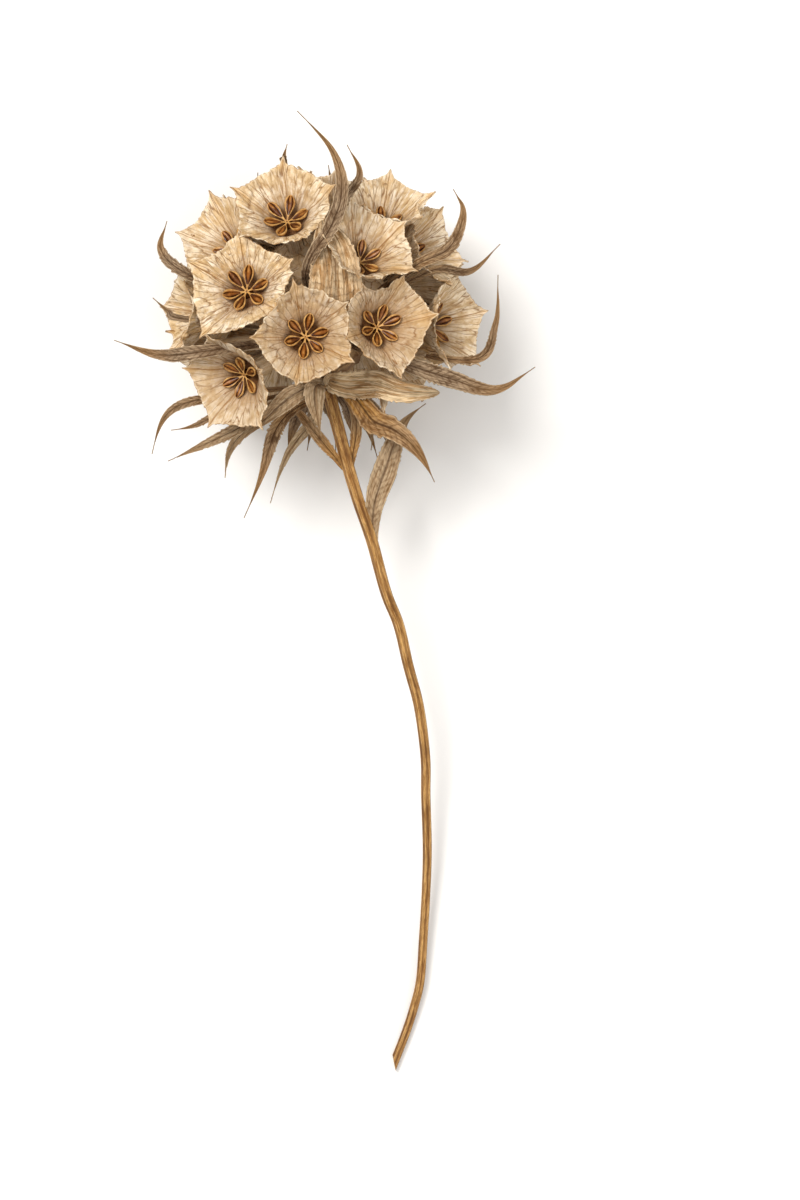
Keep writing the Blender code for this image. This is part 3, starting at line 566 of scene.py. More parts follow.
class Cup:
    """One papery cup: where its floor is, which way it opens and the outline of its mouth."""

    def __init__(self, mouth, opens, corners, draw):
        self.axis = Vector(opens).normalized()
        self.mouth = HEAD + Vector(mouth)
        self.base = self.mouth - CUP_HEIGHT * self.axis
        self.across = Vector((0, 1, 0)).cross(self.axis).normalized()
        self.along = self.axis.cross(self.across)
        if isinstance(corners, float):
            start = draw.uniform(0, CORNER_STEP)
            strays = [draw.uniform(-CORNER_SPREAD, CORNER_SPREAD) for _ in range(CORNERS)]
            turns = [start + k * CORNER_STEP + stray for k, stray in enumerate(strays)]
            corners = [(math.degrees(turn), corners) for turn in turns]
        self.radius = sum(radius for _, radius in corners) / CORNERS
        self.reach = max(radius for _, radius in corners)
        angles = np.radians([angle for angle, _ in corners])
        radii = np.array([radius for _, radius in corners])
        self.corners = np.stack([radii * np.cos(angles), radii * np.sin(angles)], 1)

    def off_axis(self, points):
        return np.linalg.norm(np.cross(points - np.array(self.base), np.array(self.axis)), axis=-1)

    def outer_radius(self, height):
        if height < -1:
            return TUBE_RADIUS
        share = min(1.0, max(0.0, height / CUP_HEIGHT) ** (1 / FLARE))
        return FLOOR_RADIUS + (self.reach - FLOOR_RADIUS) * share + WALL

    def place(self, flat, height):
        """Points in space from flat points and heights."""
        frame_axes = np.array([self.across, self.along, self.axis])
        return np.array(self.base) + flat @ frame_axes[:2] + height[..., None] * frame_axes[2]

    def outline(self, turns):
        """The mouth's outline at turns from 0 to 5."""
        k = turns.astype(int) % CORNERS
        t = (turns - turns.astype(int))[:, None]
        edge = self.corners[k] * (1 - t) + self.corners[(k + 1) % CORNERS] * t
        out = edge / np.linalg.norm(edge, axis=1, keepdims=True)
        return edge + out * EDGE_BULGE * self.radius * np.sin(math.pi * t) ** 2

    def mouth_radii(self, turns, others):
        """The outline's directions and radii, drawn in where a neighbour is in the way."""
        rim = self.outline(turns)
        full = np.linalg.norm(rim, axis=1)
        cornered = cornered_share(turns)
        height = CUP_HEIGHT + CORNER_LIFT * cornered - EDGE_SAG * (1 - cornered)
        allowed = CORNER_OVERLAP * cornered - EDGE_GAP * (1 - cornered)
        share = np.ones(len(turns))
        for _ in range(DRAW_IN_TRIES):
            points = self.place(rim * share[:, None], height)
            own = self.off_axis(points)
            over = np.max([own - cup.off_axis(points) for cup in others], axis=0) > allowed
            share = np.where(over & (share > LEAST_MOUTH), share - DRAW_IN_STEP, share)
        window = np.exp(-0.5 * (np.arange(-6, 7) / 2.5) ** 2)
        share = np.convolve(np.concatenate([share[-6:], share, share[:6]]), window / window.sum(), "valid")
        return rim / full[:, None], full * share


def cornered_share(turns):
    return np.abs(2 * (turns - np.floor(turns)) - 1) ** 2


def neighbours(cup, cups):
    return [c for c in cups if c is not cup and (c.mouth - cup.mouth).length < NEIGHBOUR_REACH]


def flatten(place):
    """The direction from the head's middle, with less reach towards the head's top."""
    return place - HIDDEN_FLATTEN * max(0, place.dot(HEAD_AXIS)) * HEAD_AXIS


def hidden_mouths():
    fixed = [Vector(mouth).normalized() for mouth, *_ in (*SEEN_CUPS, REST_CUP)]
    free = []

    def is_open(d):
        return d.angle(-HEAD_AXIS) > STEM_CLEARING and d.z < HIDDEN_HEIGHT

    open_places = [d for d in spread_directions(500) if is_open(d)]
    for _ in range(HIDDEN_CUPS):
        free.append(max(open_places, key=lambda d: min(d.angle(taken) for taken in fixed + free)))
    for _ in range(40):
        for i, place in enumerate(free):
            push = Vector()
            for other in fixed + free[:i] + free[i + 1 :]:
                away = place - other
                push += away / away.length**4
            place = (place + 0.01 * push).normalized()
            if is_open(place):
                free[i] = place
    return [HIDDEN_REACH * flatten(place) for place in free]


def grow_cups():
    draw = random.Random(SEED)
    cups = [Cup(*row, draw) for row in (*SEEN_CUPS, REST_CUP)]
    for mouth in hidden_mouths():
        cups.append(Cup(mouth, mouth + 2.0 * HEAD_AXIS, HIDDEN_RADIUS, draw))
    return cups


def ripple(points, scale, shift):
    """Smooth noise at each point, from about -1 to 1."""
    return np.array([noise.noise(Vector(p) * scale + Vector((shift, 0, 0))) for p in points])


def creased(points, scale, shift):
    """Folds like those of soft paper: near 0 in a crease, up to about 1 between creases."""
    return np.minimum(1.0, 2.6 * np.sqrt(ripple(points, scale, shift) ** 2 + 0.003))


def cup_shell(cup, cups, number, level):
    """The crinkled wall of a cup and its tube, in rings from the root round the rim to the floor."""
    count = CUP_TURNS[level]
    turns = np.arange(count) * CORNERS / count
    angle = 2 * math.pi * np.arange(count) / count
    heading, radius = cup.mouth_radii(turns, neighbours(cup, cups))
    around = np.stack([np.cos(angle), np.sin(angle), np.zeros(count)], 1)
    # ragged teeth of uneven size along the rim, and a point drawn out at each corner
    saw = (angle * 8.2 + 1.3 * ripple(around * 4.0 + number, 1.0, 2.0)) % 1.0
    teeth = ripple(around * 9.0 + number * 3.1, 1.0, 0.0) * 0.2
    teeth += (saw - 0.5) * (0.22 + 0.26 * ripple(around * 7.0 + number, 1.0, 5.0))
    to_corner = np.abs(turns - np.round(turns))
    teeth += np.exp(-((to_corner / 0.035) ** 2)) * 0.75
    cornered = cornered_share(turns)
    pleat = ripple(around * 5.5 + number * 1.7, 1.0, 20.0)
    fine_pleat = ripple(around * 15.0 + number * 2.3, 1.0, 31.0)
    shell = {label: [] for label in ("points", "grain", "share", "rib", "corner", "outside", "crease")}

    def ring(points, lift, share=0.0, rib=0.0, corner=0.0, outside=1.0, crease=0.0):
        grain = around * 9.0 + np.array([0, 0, lift + number * 5.0])
        for label, value in zip(shell, (points, grain, share, rib, corner, outside, crease)):
            shell[label].append(value if np.ndim(value) else np.full(count, float(value)))

    inward = (cup.base - CORE_CENTRE).normalized()
    high, low = TUBE_BENDS
    tube = (
        (CORE_CENTRE + TUBE_ROOT * CORE_RADIUS * inward, TUBE_RADIUS, 0.0),
        (cup.base - high * cup.axis, TUBE_RADIUS, 0.12),
        (cup.base - low * cup.axis, TUBE_RADIUS + 0.35, 0.14),
    )
    for k, (centre, width, flute) in enumerate(tube):
        flat = heading * (width * (1 + flute * np.cos(TUBE_FLUTES * angle)))[:, None]
        ring(np.array(centre) + flat @ np.array([cup.across, cup.along]), -0.4 * (2 - k))
    shares = np.linspace(0, 1, CUP_RINGS[level]) ** 0.85
    for outside, offset, order in ((1, 0.48, shares), (0, 0.2, shares[::-1])):
        for share in order:
            lift = (CORNER_LIFT * cornered - EDGE_SAG * (1 - cornered)) * share**2
            out = FLOOR_RADIUS + (radius - FLOOR_RADIUS) * share + teeth * share**6
            width = np.maximum(0.16, 0.30 - 0.14 * share)
            near_rib = np.exp(-((to_corner * 1.2 * np.maximum(out, 1) / width) ** 2))
            raised = near_rib * (0.16 if outside else -0.12) * (0.3 + 0.7 * share)
            sway = (0.42 * pleat * share**1.5 + 0.12 * fine_pleat * share) * (1 - 0.6 * near_rib)
            normal = sway + (offset - 0.34) * (1 - 0.35 * share) + 0.34 + raised
            flat = heading * (out + normal * 0.75)[:, None]
            height = CUP_HEIGHT * share**FLARE + lift - 0.62 * normal + teeth * 0.4 * share**6
            points = cup.place(flat, height)
            broad = creased(points, 0.26, 3.0)
            small = creased(points, 0.7, 9.0)
            crumple = (0.55 * (broad - 0.6) + 0.12 * (small - 0.6)) * share**0.8
            ring(
                cup.place(flat - heading * (crumple * 0.7)[:, None], height + crumple * 0.7),
                share * 3.2,
                share,
                near_rib * min(1, 0.55 + share),
                np.exp(-((to_corner / 0.15) ** 2)) * share**1.5,
                outside,
                np.clip(1 - np.minimum(broad, small * 1.4) * 6, 0, 1) * min(1, 2 * share),
            )
    shell = {label: np.concatenate(rings) for label, rings in shell.items()}
    shell["points"][:, 2] = np.maximum(shell["points"][:, 2], 0.0)
    # painted shade from the table for the first cups, a random brown tone for the others
    tint = SEEN_CUP_SHADE[number] if number < len(SEEN_CUP_SHADE) else 0.5 * random.Random(number).random()
    return {**shell, "tint": np.full(len(shell["points"]), tint)}


def cup_piece(name, numbers, cups, level, finish):
    """Several cups as one piece."""
    shells = [cup_shell(cups[i], cups, i, level) for i in numbers]
    sides = CUP_TURNS[level]
    size = len(shells[0]["points"])
    faces = [face for k in range(len(shells)) for face in tube_faces(size // sides, sides, k * size)]
    facts = {label: np.concatenate([shell[label] for shell in shells]) for label in shells[0]}
    return mesh_piece(name, facts.pop("points"), faces, finish, facts)


# Paths of blades and stem


def above_surface(point):
    return Vector((point.x, point.y, max(point.z, SURFACE_CLEARANCE)))


def clear_path(path, width, cups, stem=()):
    """The path, bent where it would run through a cup, its tube or the stem's line of points."""
    half = 0.5 * width + BLADE_CLEARANCE
    moved = list(path)
    for _ in range(CLEARING_ROUNDS):
        for i in range(1, len(moved)):
            for cup in cups:
                from_base = moved[i] - cup.base
                height = from_base.dot(cup.axis)
                away = from_base - height * cup.axis
                short = cup.outer_radius(height) + half - away.length
                if height < CUP_HEIGHT + half and short > 0:
                    moved[i] = moved[i] + min(short, 1.0) * away.normalized()
            for centre in stem:
                away = moved[i] - centre
                if away.length < STEM_TOP_RADIUS + half:
                    moved[i] = centre + (STEM_TOP_RADIUS + half) * away.normalized()
            moved[i] = above_surface(moved[i])
        for i in range(2, len(moved) - 1):
            moved[i] = 0.6 * moved[i] + 0.2 * (moved[i - 1] + moved[i + 1])
    return moved


def sideways_of(path, towards):
    ahead = (path[-1] - path[0]).normalized()
    return towards if abs(ahead.dot(towards)) < 0.85 else HEAD_AXIS


def core_root(place):
    """Where a bract that passes this place is rooted in the receptacle."""
    return CORE_CENTRE + BRACT_ROOT * CORE_RADIUS * (place - CORE_CENTRE).normalized()


def head_bracts():
    grown = []
    for *marks, width in HEAD_BRACTS:
        marks = [HEAD + Vector(p) for p in marks]
        grown.append(([core_root(marks[0]), *marks], width))
    return grown


def hidden_bracts(cups):
    taken = [(cup.mouth - HEAD).normalized() for cup in cups]
    chosen = []
    low, high = HIDDEN_BRACT_HEIGHTS
    places = [d for d in spread_directions(600) if low < d.z < high and d.angle(-HEAD_AXIS) > STEM_CLEARING]

    def room(d):
        return min(d.angle(c) for c in taken) + 0.5 * min([d.angle(c) for c in chosen] or [1])

    for _ in range(HIDDEN_BRACTS):
        chosen.append(max(places, key=room))
    grown = []
    for place in chosen:
        lean = (place + 0.15 * HEAD_AXIS).normalized()
        tip = (place + 0.1 * UP + 0.4 * HEAD_AXIS).normalized()
        marks = [HEAD + reach * flatten(d) for reach, d in zip(HIDDEN_BRACT_REACH, (place, lean, tip))]
        grown.append(([above_surface(p) for p in (core_root(marks[0]), *marks)], HIDDEN_BRACT_WIDTH))
    return grown


def whorl_paths():
    grown = []
    for *marks, width in WHORL_BRACTS:
        marks = [HEAD + Vector(p) for p in marks]
        out = marks[0] - COLLAR_CENTRE
        out = (out - out.dot(HEAD_AXIS) * HEAD_AXIS).normalized()
        grown.append(([COLLAR_CENTRE + BRACT_ROOT * COLLAR_RADIUS * out, *marks], width))
    draw = random.Random(SEED + 1)
    for k in range(UNDER_BRACTS):
        turn = -math.pi / 2 + UNDER_SWING * ((k + 0.5) / UNDER_BRACTS - 0.5)
        out = Vector((math.cos(turn), 0, math.sin(turn)))
        length = draw.uniform(0.65, 0.85)
        marks = [
            COLLAR_CENTRE + BRACT_ROOT * COLLAR_RADIUS * out,
            COLLAR_CENTRE + length * (10.0 * out - 4.0 * HEAD_AXIS),
            COLLAR_CENTRE + length * (17.0 * out - 10.0 * HEAD_AXIS),
            COLLAR_CENTRE + length * (20.0 * out - (17.0 + 4 * draw.random()) * HEAD_AXIS),
        ]
        grown.append(([above_surface(p) for p in marks], draw.uniform(2.2, 3.2)))
    return grown


# what one point of a middle line carries for the growing rule
LINE_FIELDS = "number centre side over wide deep along run golden pale slant"
Line = namedtuple("Line", LINE_FIELDS, defaults=(0.0, 0.0, Vector()))


def blade_lines(blades):
    """The middle lines of blades, with what each point needs to carry its cross-section.

    blades holds a path, a width, the taper, the side that it faces and how golden and how pale it is.
    """
    lines = []
    for number, (path, width, taper_power, facing, golden, pale) in enumerate(blades):
        path = smooth_path(path, BLADE_STEPS)
        run = 0.0
        for i, (centre, ahead) in enumerate(zip(path, directions(path))):
            t = i / (BLADE_STEPS - 1)
            run += (centre - path[max(i - 1, 0)]).length
            taper = math.cos(math.pi / 2 * min(1, max(0, (t - TAPER_START) / (1 - TAPER_START))))
            across = width * min(1, ROOT_WIDTH + SWELL * t) * abs(taper) ** taper_power
            half = max(THINNEST_HALF, 0.5 * across)
            side = ahead.cross(facing).normalized()
            over = side.cross(ahead)
            deep = half / max(1, width / FULL_DEPTH_WIDTH)
            lines.append(Line(number, centre, side, over, half, deep, t, run, golden, pale))
    return lines


def stem_line():
    lines = []
    path = smooth_path(STEM_PATH, STEM_STEPS)
    for i, (centre, ahead) in enumerate(zip(path, directions(path))):
        t = i / (STEM_STEPS - 1)
        radius = STEM_TOP_RADIUS + (STEM_END_RADIUS - STEM_TOP_RADIUS) * min(1, 1.4 * t)
        side = ahead.cross(UP).normalized()
        slant = -ahead * STEM_CUT_SLANT * radius * max(0, 1 - (1 - t) * 90)
        lines.append(Line(0, centre, side, side.cross(ahead), radius, radius, t, 0.45 * i, slant=slant))
    return lines


def line_mesh(name, lines):
    """The lines as loose edges, which the growing rule turns into blades or a stem."""
    mesh = bpy.data.meshes.new(name)
    edges = [(i, i + 1) for i in range(len(lines) - 1) if lines[i].number == lines[i + 1].number]
    mesh.from_pydata([line.centre * MM for line in lines], edges, [])
    for label, values in zip(Line._fields, zip(*lines)):
        if label != "centre":
            unit = MM if label in ("wide", "deep", "run", "slant") else 1
            keep(mesh, {label: np.array(values) * unit})
    return linked(name, mesh)


def section_curve(name, outline):
    """A closed cross-section in the XY plane, of unit half width."""
    curve = bpy.data.curves.new(name, "CURVE")
    curve.dimensions = "3D"
    spline = curve.splines.new("POLY")
    spline.points.add(len(outline) - 1)
    for point, (x, y) in zip(spline.points, outline):
        point.co = (x, y, 0, 1)
    spline.use_cyclic_u = True
    return linked(name, curve)


def thin_section(xs, height, half, skip):
    """A thin section about a middle height: out over its points, then back under some of them."""
    over = [(x, height(x) + half * (1 - abs(x) ** 2.2)) for x in xs]
    return over + [(x, height(x) - half * (1 - abs(x) ** 2.2)) for x in xs[::-1][1:-1:skip]]


def hump(x, middle, half):
    return math.exp(-(((x - middle) / half) ** 2))


def blade_section():
    """A thin dished leaf section with a midrib and two side ribs."""
    xs = [1, 0.93, 0.78, 0.6, 0.45, 0.3, 0.14, 0, -0.14, -0.3, -0.45, -0.6, -0.78, -0.93, -1]

    def height(x):
        return 0.26 * x * x - 0.11 * hump(x, 0, 0.08) - 0.05 * hump(abs(x), 0.45, 0.08)

    return thin_section(xs, height, 0.16, 2)


def folded_section():
    """A thin papery section with five uneven lengthwise folds."""
    left = ((-0.84, 0.16, 0.09), (-0.42, 0.30, 0.12), (-0.05, -0.16, 0.10))
    folds = (*left, (0.34, 0.24, 0.11), (0.72, -0.14, 0.09))

    def height(x):
        return 0.2 * x * x + sum(rise * hump(x, middle, half) for middle, rise, half in folds)

    return thin_section([1 - k / 24 for k in range(49)], height, 0.09, 1)


def stem_section():
    """A round section with five broad ridges and finer ones between them."""
    turns = [2 * math.pi * k / STEM_SIDES for k in range(STEM_SIDES)]
    radii = [0.935 + 0.045 * math.cos(5 * a + 0.4) + 0.02 * math.cos(12 * a + 1.0) for a in turns]
    return [(r * math.cos(a), r * math.sin(a)) for r, a in zip(radii, turns)]


# Growing rules


class Rule:
    """A Geometry Nodes tree under construction, with named inputs and values kept at the points."""

    def __init__(self, name, inputs):
        self.tree = bpy.data.node_groups.new(name, "GeometryNodeTree")
        for label, kind in (*inputs.items(), ("Finish", "Material")):
            socket_type = "NodeSocket" + (kind if isinstance(kind, str) else "Float")
            socket = self.tree.interface.new_socket(label, in_out="INPUT", socket_type=socket_type)
            if isinstance(kind, float):
                socket.default_value = kind
        self.tree.interface.new_socket("Grown", in_out="OUTPUT", socket_type="NodeSocketGeometry")
        self.given = self.tree.nodes.new("NodeGroupInput")

    def asked(self, name):
        return Socket(self.tree, self.given.outputs[name])

    def kept(self, name, kind="FLOAT"):
        return add(self.tree, "GeometryNodeInputNamedAttribute", {"data_type": kind}, {"Name": name})

    def keep(self, geometry, name, value, kind="FLOAT"):
        settings = {"data_type": kind, "domain": "POINT"}
        values = {"Geometry": geometry, "Name": name, "Value": value}
        return add(self.tree, "GeometryNodeStoreNamedAttribute", settings, values)

    def form(self, name):
        return add(self.tree, "GeometryNodeObjectInfo", {}, {"Object": self.asked(name)}, "Geometry")

    def noise(self, where, scale, detail=1.0):
        values = {"Vector": where, "Scale": scale, "Detail": detail}
        return add(self.tree, "ShaderNodeTexNoise", {}, values)

    def done(self, geometry):
        """The finished tree, which ends in real faces with the finish on them."""
        faces = add(self.tree, "GeometryNodeRealizeInstances", {}, [geometry])
        values = {"Geometry": faces, "Material": self.asked("Finish")}
        faces = add(self.tree, "GeometryNodeSetMaterial", {}, values)
        end = self.tree.nodes.new("NodeGroupOutput")
        self.tree.links.new(faces.out, end.inputs["Grown"])
        return self.tree


def growing_rule():
    """A tree that carries a cross-section along lines and cuts teeth into its margins."""
    sizes = {"Tooth": 0.0006, "Tooth pitch": 0.0014, "Ruffle": 0.0007, "Ruffle scale": 420.0}
    rule = Rule("grow_along_lines", {"Lines": "Geometry", **sizes, "Section": "Object"})
    tree, asked, kept = rule.tree, rule.asked, rule.kept
    place = add(tree, "GeometryNodeInputPosition")
    lines = add(tree, "GeometryNodeMeshToCurve", {}, [asked("Lines")])
    lines = rule.keep(lines, "middle", place, VECTOR)
    section = rule.keep(rule.form("Section"), "section", place, VECTOR)
    values = {"Curve": lines, "Profile Curve": section, "Fill Caps": True}
    grown = add(tree, "GeometryNodeCurveToMesh", {}, values)
    painted_tip_highlight = kept("section", VECTOR)
    x = painted_tip_highlight.axis("X")
    y = painted_tip_highlight.axis("Y")
    along = kept("along")
    wide = kept("wide")
    middle = kept("middle", VECTOR)
    over = kept("over", VECTOR)
    edge = x.of("ABSOLUTE")
    margin = x.of("SIGN")
    broad = 0.5 + wide * 420.0
    # the teeth: sharp on one side, of uneven size and pitch, smaller at the root and the tip
    phase = kept("run") / asked("Tooth pitch") + margin * 0.23 + rule.noise(middle, 260.0) * 5.0
    phase = phase + kept("number") * 0.37
    bite = (phase.of("FRACT") - 0.4) * asked("Tooth") * edge**4 * rule.noise(middle, 500.0).step(0.35, 0.75)
    bite = bite * (1 - along.step(0.45, 0.78) * (1 - kept("pale"))) * along.step(0.05, 0.2) * broad
    moved = middle.plus(kept("side", VECTOR).times(x * wide + margin * bite))
    moved = moved.plus(over.times(y * kept("deep"))).plus(kept("slant", VECTOR).times(x))
    waves = rule.noise(moved, asked("Ruffle scale"), 2.0)
    sway = (waves - 0.5) * asked("Ruffle") * (0.35 + edge) * along.fall(0.7, 1.0) * broad
    moved = moved.plus(over.times(sway))
    grown = add(tree, "GeometryNodeSetPosition", {}, {"Geometry": grown, "Position": moved})
    grown = add(tree, "GeometryNodeSetShadeSmooth", {}, {"Geometry": grown, "Shade Smooth": True})
    length = painted_tip_highlight.vector("LENGTH", out="Value")
    parts = [x * 7.0 + kept("number") * 9.0, y * 7.0, kept("run") * 330.0]
    grain = add(tree, "ShaderNodeCombineXYZ", {}, parts)
    grown = rule.keep(grown, "across", x)
    grown = rule.keep(grown, "ridge", length.step(0.88, 1.0))
    return rule.done(rule.keep(grown, "grain", grain, VECTOR))


def star_rule():
    """A tree that sets an arm on each point, turned and sized by what the point carries."""
    rule = Rule("set_star_arms", {"Points": "Geometry", "Arm": "Object"})
    axes = {"primary_axis": "Z", "secondary_axis": "X"}
    turned = [rule.kept("up", VECTOR), rule.kept("out", VECTOR)]
    values = {
        "Points": rule.asked("Points"),
        "Instance": rule.form("Arm"),
        "Rotation": add(rule.tree, "FunctionNodeAxesToRotation", axes, turned),
        "Scale": rule.kept("size"),
    }
    return rule.done(add(rule.tree, "GeometryNodeInstanceOnPoints", {}, values))


def grown_piece(name, carrier, tree, **inputs):
    """The plain mesh that a growing rule makes from its carrier."""
    modifier = carrier.modifiers.new("grow", "NODES")
    modifier.node_group = tree
    for item in tree.interface.items_tree:
        label = item.name.replace(" ", "_")
        if item.in_out == "INPUT" and label in inputs:
            modifier[item.identifier] = inputs[label]
    carrier.update_tag()
    graph = bpy.context.evaluated_depsgraph_get()
    mesh = bpy.data.meshes.new_from_object(carrier.evaluated_get(graph), depsgraph=graph)
    mesh.name = name
    bpy.data.objects.remove(carrier)
    turn_faces_out(mesh)
    return linked(name, mesh)


# Stars


def star_arm():
    """One arm along +X: a hull with a golden lip round a glossy body, on a thin golden strand."""
    rings = 20
    half_turns = [math.pi * k / 9 for k in range(10)]
    points, edge, along = [], [], []
    rise = ARM_HEIGHT - ARM_FOOT
    for i in range(rings):
        s = i / (rings - 1)
        u = max(0.0, (s - STRAND_SHARE) / (1 - STRAND_SHARE))
        half = STRAND_HALF + ARM_HALF_WIDTH * max(0.0, math.sin(math.pi * u**1.5)) ** 0.75
        hollow = min(1.0, max(0.0, (half - 0.24) / 0.3))
        x = 0.05 + (ARM_LENGTH + 0.05) * s
        z = ARM_FOOT + rise * s**1.15
        slope = math.atan2(rise * 1.15 * max(s, 0.05) ** 0.15, ARM_LENGTH)
        section = []
        for a in half_turns:
            gold = 0.4 + 0.6 * abs(math.cos(a)) ** 5
            section.append((half * math.cos(a), -(half + 0.05) * math.sin(a), gold))
        for a in half_turns[::-1]:
            q = abs(math.cos(a))
            if q > 0.99:
                section.append((0.74 * half * math.cos(a), 0.10 * half, 1.0))
            else:
                dip = (0.14 + 0.62 * q**3) * half * hollow
                section.append((0.68 * half * math.cos(a), -dip, 0.36 - 0.42 * q))
        for side, up, gold in section:
            points.append((x - math.sin(slope) * up, side, z + math.cos(slope) * up))
            edge.append(max(gold, 1 - hollow))
            along.append(s)
    faces = tube_faces(rings, 2 * len(half_turns))
    return mesh_piece("star_arm", points, faces, None, {"edge": edge, "along": along})


def star_points(cups):
    """A point for every arm, with the way it points and its size."""
    spots, ups, outs, sizes = [], [], [], []
    for number, cup in enumerate(cups):
        draw = random.Random(100 + number)
        for k in range(ARMS):
            turn = 2 * math.pi * k / ARMS + STAR_TURN + draw.uniform(-0.09, 0.09)
            sizes.append(cup.radius / STAR_RADIUS_SHARE * draw.uniform(0.93, 1.03))
            spots.append(cup.base * MM)
            ups.append(cup.axis.lerp(cup.across, draw.uniform(-0.03, 0.03)).normalized())
            outs.append(cup.across * math.cos(turn) + cup.along * math.sin(turn))
    mesh = bpy.data.meshes.new("star_points")
    mesh.from_pydata(spots, [], [])
    keep(mesh, {"up": ups, "out": outs, "size": sizes})
    return linked("star_points", mesh)


def star_hubs(cups, finish):
    """The knob in the middle of each star, sunk in the cup's floor."""
    points, faces, edge = [], [], []
    profile = ((0.9, -0.3), (1.1, 0.1), (0.9, 0.6), (0.5, 0.95), (0.3, 1.2), (0.05, 1.28))
    sides = 24
    angle = 2 * math.pi * np.arange(sides) / sides
    for cup in cups:
        size = cup.radius / STAR_RADIUS_SHARE
        faces += tube_faces(len(profile), sides, len(points))
        for radius, height in profile:
            lobed = radius * (1 + 0.08 * np.cos(ARMS * (angle - STAR_TURN)))
            flat = np.stack([lobed * np.cos(angle), lobed * np.sin(angle)], 1) * size
            points += cup.place(flat, np.full(sides, height * size)).tolist()
            edge += [0.0 if radius > 0.4 else 0.3] * sides
    return mesh_piece("star_hubs", points, faces, finish, {"edge": edge, "along": [0.3] * len(points)})


# Receptacle and collar


def knob(name, centre, stretch, finish, facts):
    """A bumpy round body with chaff-like pits."""
    mesh = bpy.data.meshes.new(name)
    ball = bmesh.new()
    bmesh.ops.create_icosphere(ball, subdivisions=5, radius=1.0)
    for vertex in ball.verts:
        way = vertex.co.normalized()
        bump = 1 + 0.05 * noise.noise(way * 5) + 0.06 * abs(noise.noise(way * 12)) - 0.03
        along = way.dot(HEAD_AXIS)
        flat = way - along * HEAD_AXIS
        vertex.co = (centre + (flat * stretch[0] + HEAD_AXIS * along * stretch[1]) * bump) * MM
    ball.to_mesh(mesh)
    ball.free()
    keep(mesh, {label: [value] * len(mesh.vertices) for label, value in facts.items()})
    keep(mesh, {"grain": np.array([vertex.co for vertex in mesh.vertices]) * 600})
    mesh.materials.append(finish)
    mesh.shade_smooth()
    return linked(name, mesh)


# Light, floor and camera


def soft_light(name, place, size, power, colour=(1, 1, 1)):
    lamp = bpy.data.lights.new(name, "AREA")
    lamp.shape = "DISK"
    lamp.size = size
    lamp.energy = power
    lamp.color = colour
    made = linked(name, lamp)
    made.location = place
    made.rotation_euler = (LIGHT_AIM - Vector(place)).to_track_quat("-Z", "Y").to_euler()


def set_stage():
    mesh = bpy.data.meshes.new("floor")
    corners = [(x * FLOOR_HALF, y * FLOOR_HALF, 0) for x, y in ((-1, -1), (1, -1), (1, 1), (-1, 1))]
    mesh.from_pydata(corners, [], [(0, 1, 2, 3)])
    mesh.materials.append(floor_finish())
    linked("floor", mesh)
    soft_light("main", (-0.46, 0.44, 1.15), 0.55, 13.4, WARM)
    soft_light("fill", (0.8, -0.4, 0.9), 1.0, 4.8, WARM)
    soft_light("above", (0.05, 0.1, 1.7), 1.0, 7.4)
    world = bpy.data.worlds.new("soft")
    world.use_nodes = True
    glow = world.node_tree.nodes["Background"].inputs
    glow[0].default_value = (*WARM, 1)
    glow[1].default_value = 0.37
    bpy.context.scene.world = world
    view = bpy.data.cameras.new("camera")
    view.sensor_width = SENSOR
    view.lens = SENSOR * (VIEW_HEIGHT - HEAD.z) / VIEW_TALL
    view.clip_end = 10
    camera = linked("camera", view)
    camera.location = Vector((*VIEW_MIDDLE, VIEW_HEIGHT)) * MM
    bpy.context.scene.camera = camera
    bpy.context.scene.view_settings.view_transform = "Standard"


def blade_row(path, width, taper, golden, pale):
    taper = BROAD_TAPER if width > BROAD_WIDTH else taper
    return path, width, taper, sideways_of(path, UP), golden, pale


def head_pieces(cups, blades, papery, starry, bracty):
    near = [i for i, cup in enumerate(cups) if cup.axis.z > NEAR_CUP_TILT]
    far = [i for i in range(len(cups)) if i not in near]
    arm = star_arm()
    pieces = [
        cup_piece("cups_top", near[:5], cups, "near", papery),
        cup_piece("cups_front", near[5:], cups, "near", papery),
        cup_piece("cups_side", far[:9], cups, "far", papery),
        cup_piece("cups_under", far[9:], cups, "far", papery),
        star_hubs(cups, starry),
        knob("receptacle", CORE_CENTRE, (CORE_RADIUS, CORE_RADIUS), bracty, CHAFF),
        knob("crown", CROWN_CENTRE, (CROWN_RADIUS, CROWN_RADIUS), papery, HUSK),
        grown_piece("stars", star_points(cups), star_rule(), Arm=arm, Finish=starry),
    ]
    bpy.data.objects.remove(arm)
    rows = []
    for k, (marks, width) in enumerate(head_bracts() + hidden_bracts(cups)):
        golden, pale = (0.6, 0.7) if width > BROAD_WIDTH else (0.3 if k in HEAD_GOLDEN else 0.05, 0.0)
        rows.append(blade_row(smooth_path(marks, BLADE_SECTIONS), width, HEAD_TAPER, golden, pale))
    return pieces + blades("broad_scale", "head_bracts", rows)


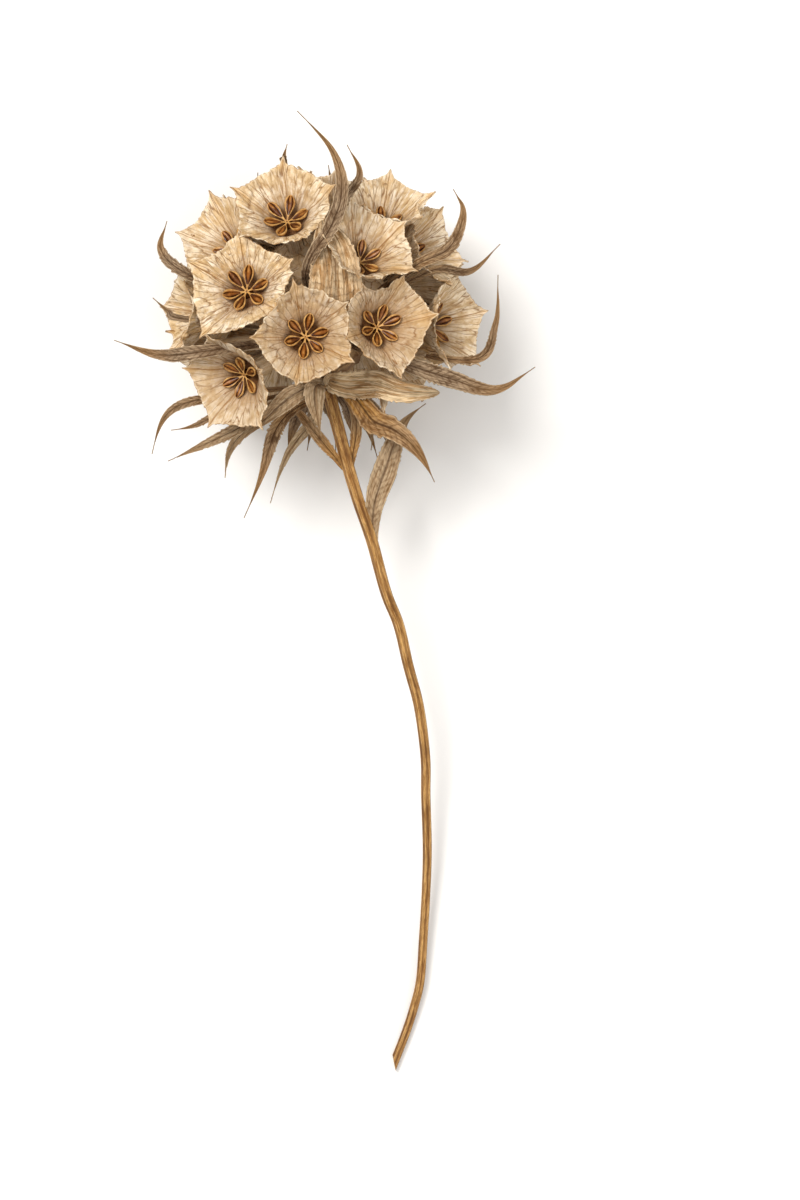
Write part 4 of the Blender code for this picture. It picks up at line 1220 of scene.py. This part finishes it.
def whorl_pieces(cups, blades, bracty):
    stem_points = smooth_path(STEM_PATH, STEM_SECTIONS)
    rows = []
    for k, (marks, width) in enumerate(whorl_paths()):
        path = clear_path(smooth_path(marks, BLADE_SECTIONS), width, cups, stem_points)
        rows.append(blade_row(path, width, WHORL_TAPER, WHORL_GOLDEN.get(k, 0.05), WHORL_PALE.get(k, 0.0)))
    collar_shape = (COLLAR_RADIUS, 0.5 * COLLAR_THICKNESS)
    pieces = blades("whorl_sheet", "whorl_bracts", rows)
    return [*pieces, knob("collar", COLLAR_CENTRE, collar_shape, bracty, CHAFF)]


def main():
    set_stage()
    cups = grow_cups()
    papery = papery_finish()
    starry = star_finish()
    bracty = bract_finish("dry_grey_brown")
    straw = stem_finish()
    rule = growing_rule()
    leaf_shape = section_curve("leaf_section", blade_section())
    folded_shape = section_curve("folded_section", folded_section())
    round_shape = section_curve("stem_section", stem_section())

    def blades(broad_name, narrow_name, rows):
        """The broad folded blades as one piece and the narrow ones as another."""
        pieces = []
        for name, broad, shape in ((broad_name, True, folded_shape), (narrow_name, False, leaf_shape)):
            chosen = [row for row in rows if (row[1] > BROAD_WIDTH) == broad]
            lines = line_mesh(name + "_lines", blade_lines(chosen))
            pieces.append(grown_piece(name, lines, rule, Section=shape, Finish=bracty))
        return pieces

    head = head_pieces(cups, blades, papery, starry, bracty)
    whorl = whorl_pieces(cups, blades, bracty)
    leaves = []
    for (*marks, width, taper), tones in zip(STEM_LEAVES, LEAF_TONES):
        path = clear_path(smooth_path(marks, LEAF_SECTIONS), width, cups)
        leaves.append((path, width, taper, UP, *tones))
    lines = line_mesh("leaf_lines", blade_lines(leaves))
    smooth = {"Tooth": 0.0, "Ruffle": 0.0002, "Ruffle_scale": 120.0}
    middle = line_mesh("stem_lines", stem_line())
    stem = [
        grown_piece("leaves", lines, rule, Section=leaf_shape, Finish=bracty, Tooth=0.0003),
        grown_piece("stem", middle, rule, Section=round_shape, Finish=straw, **smooth),
    ]
    for shape in (leaf_shape, folded_shape, round_shape):
        bpy.data.objects.remove(shape)

    for pieces, node in ((head, "seed_head"), (whorl, "bract_whorl"), (stem, "leafy_stem")):
        for piece in pieces:
            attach(piece, "root")
            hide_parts(node)


main()
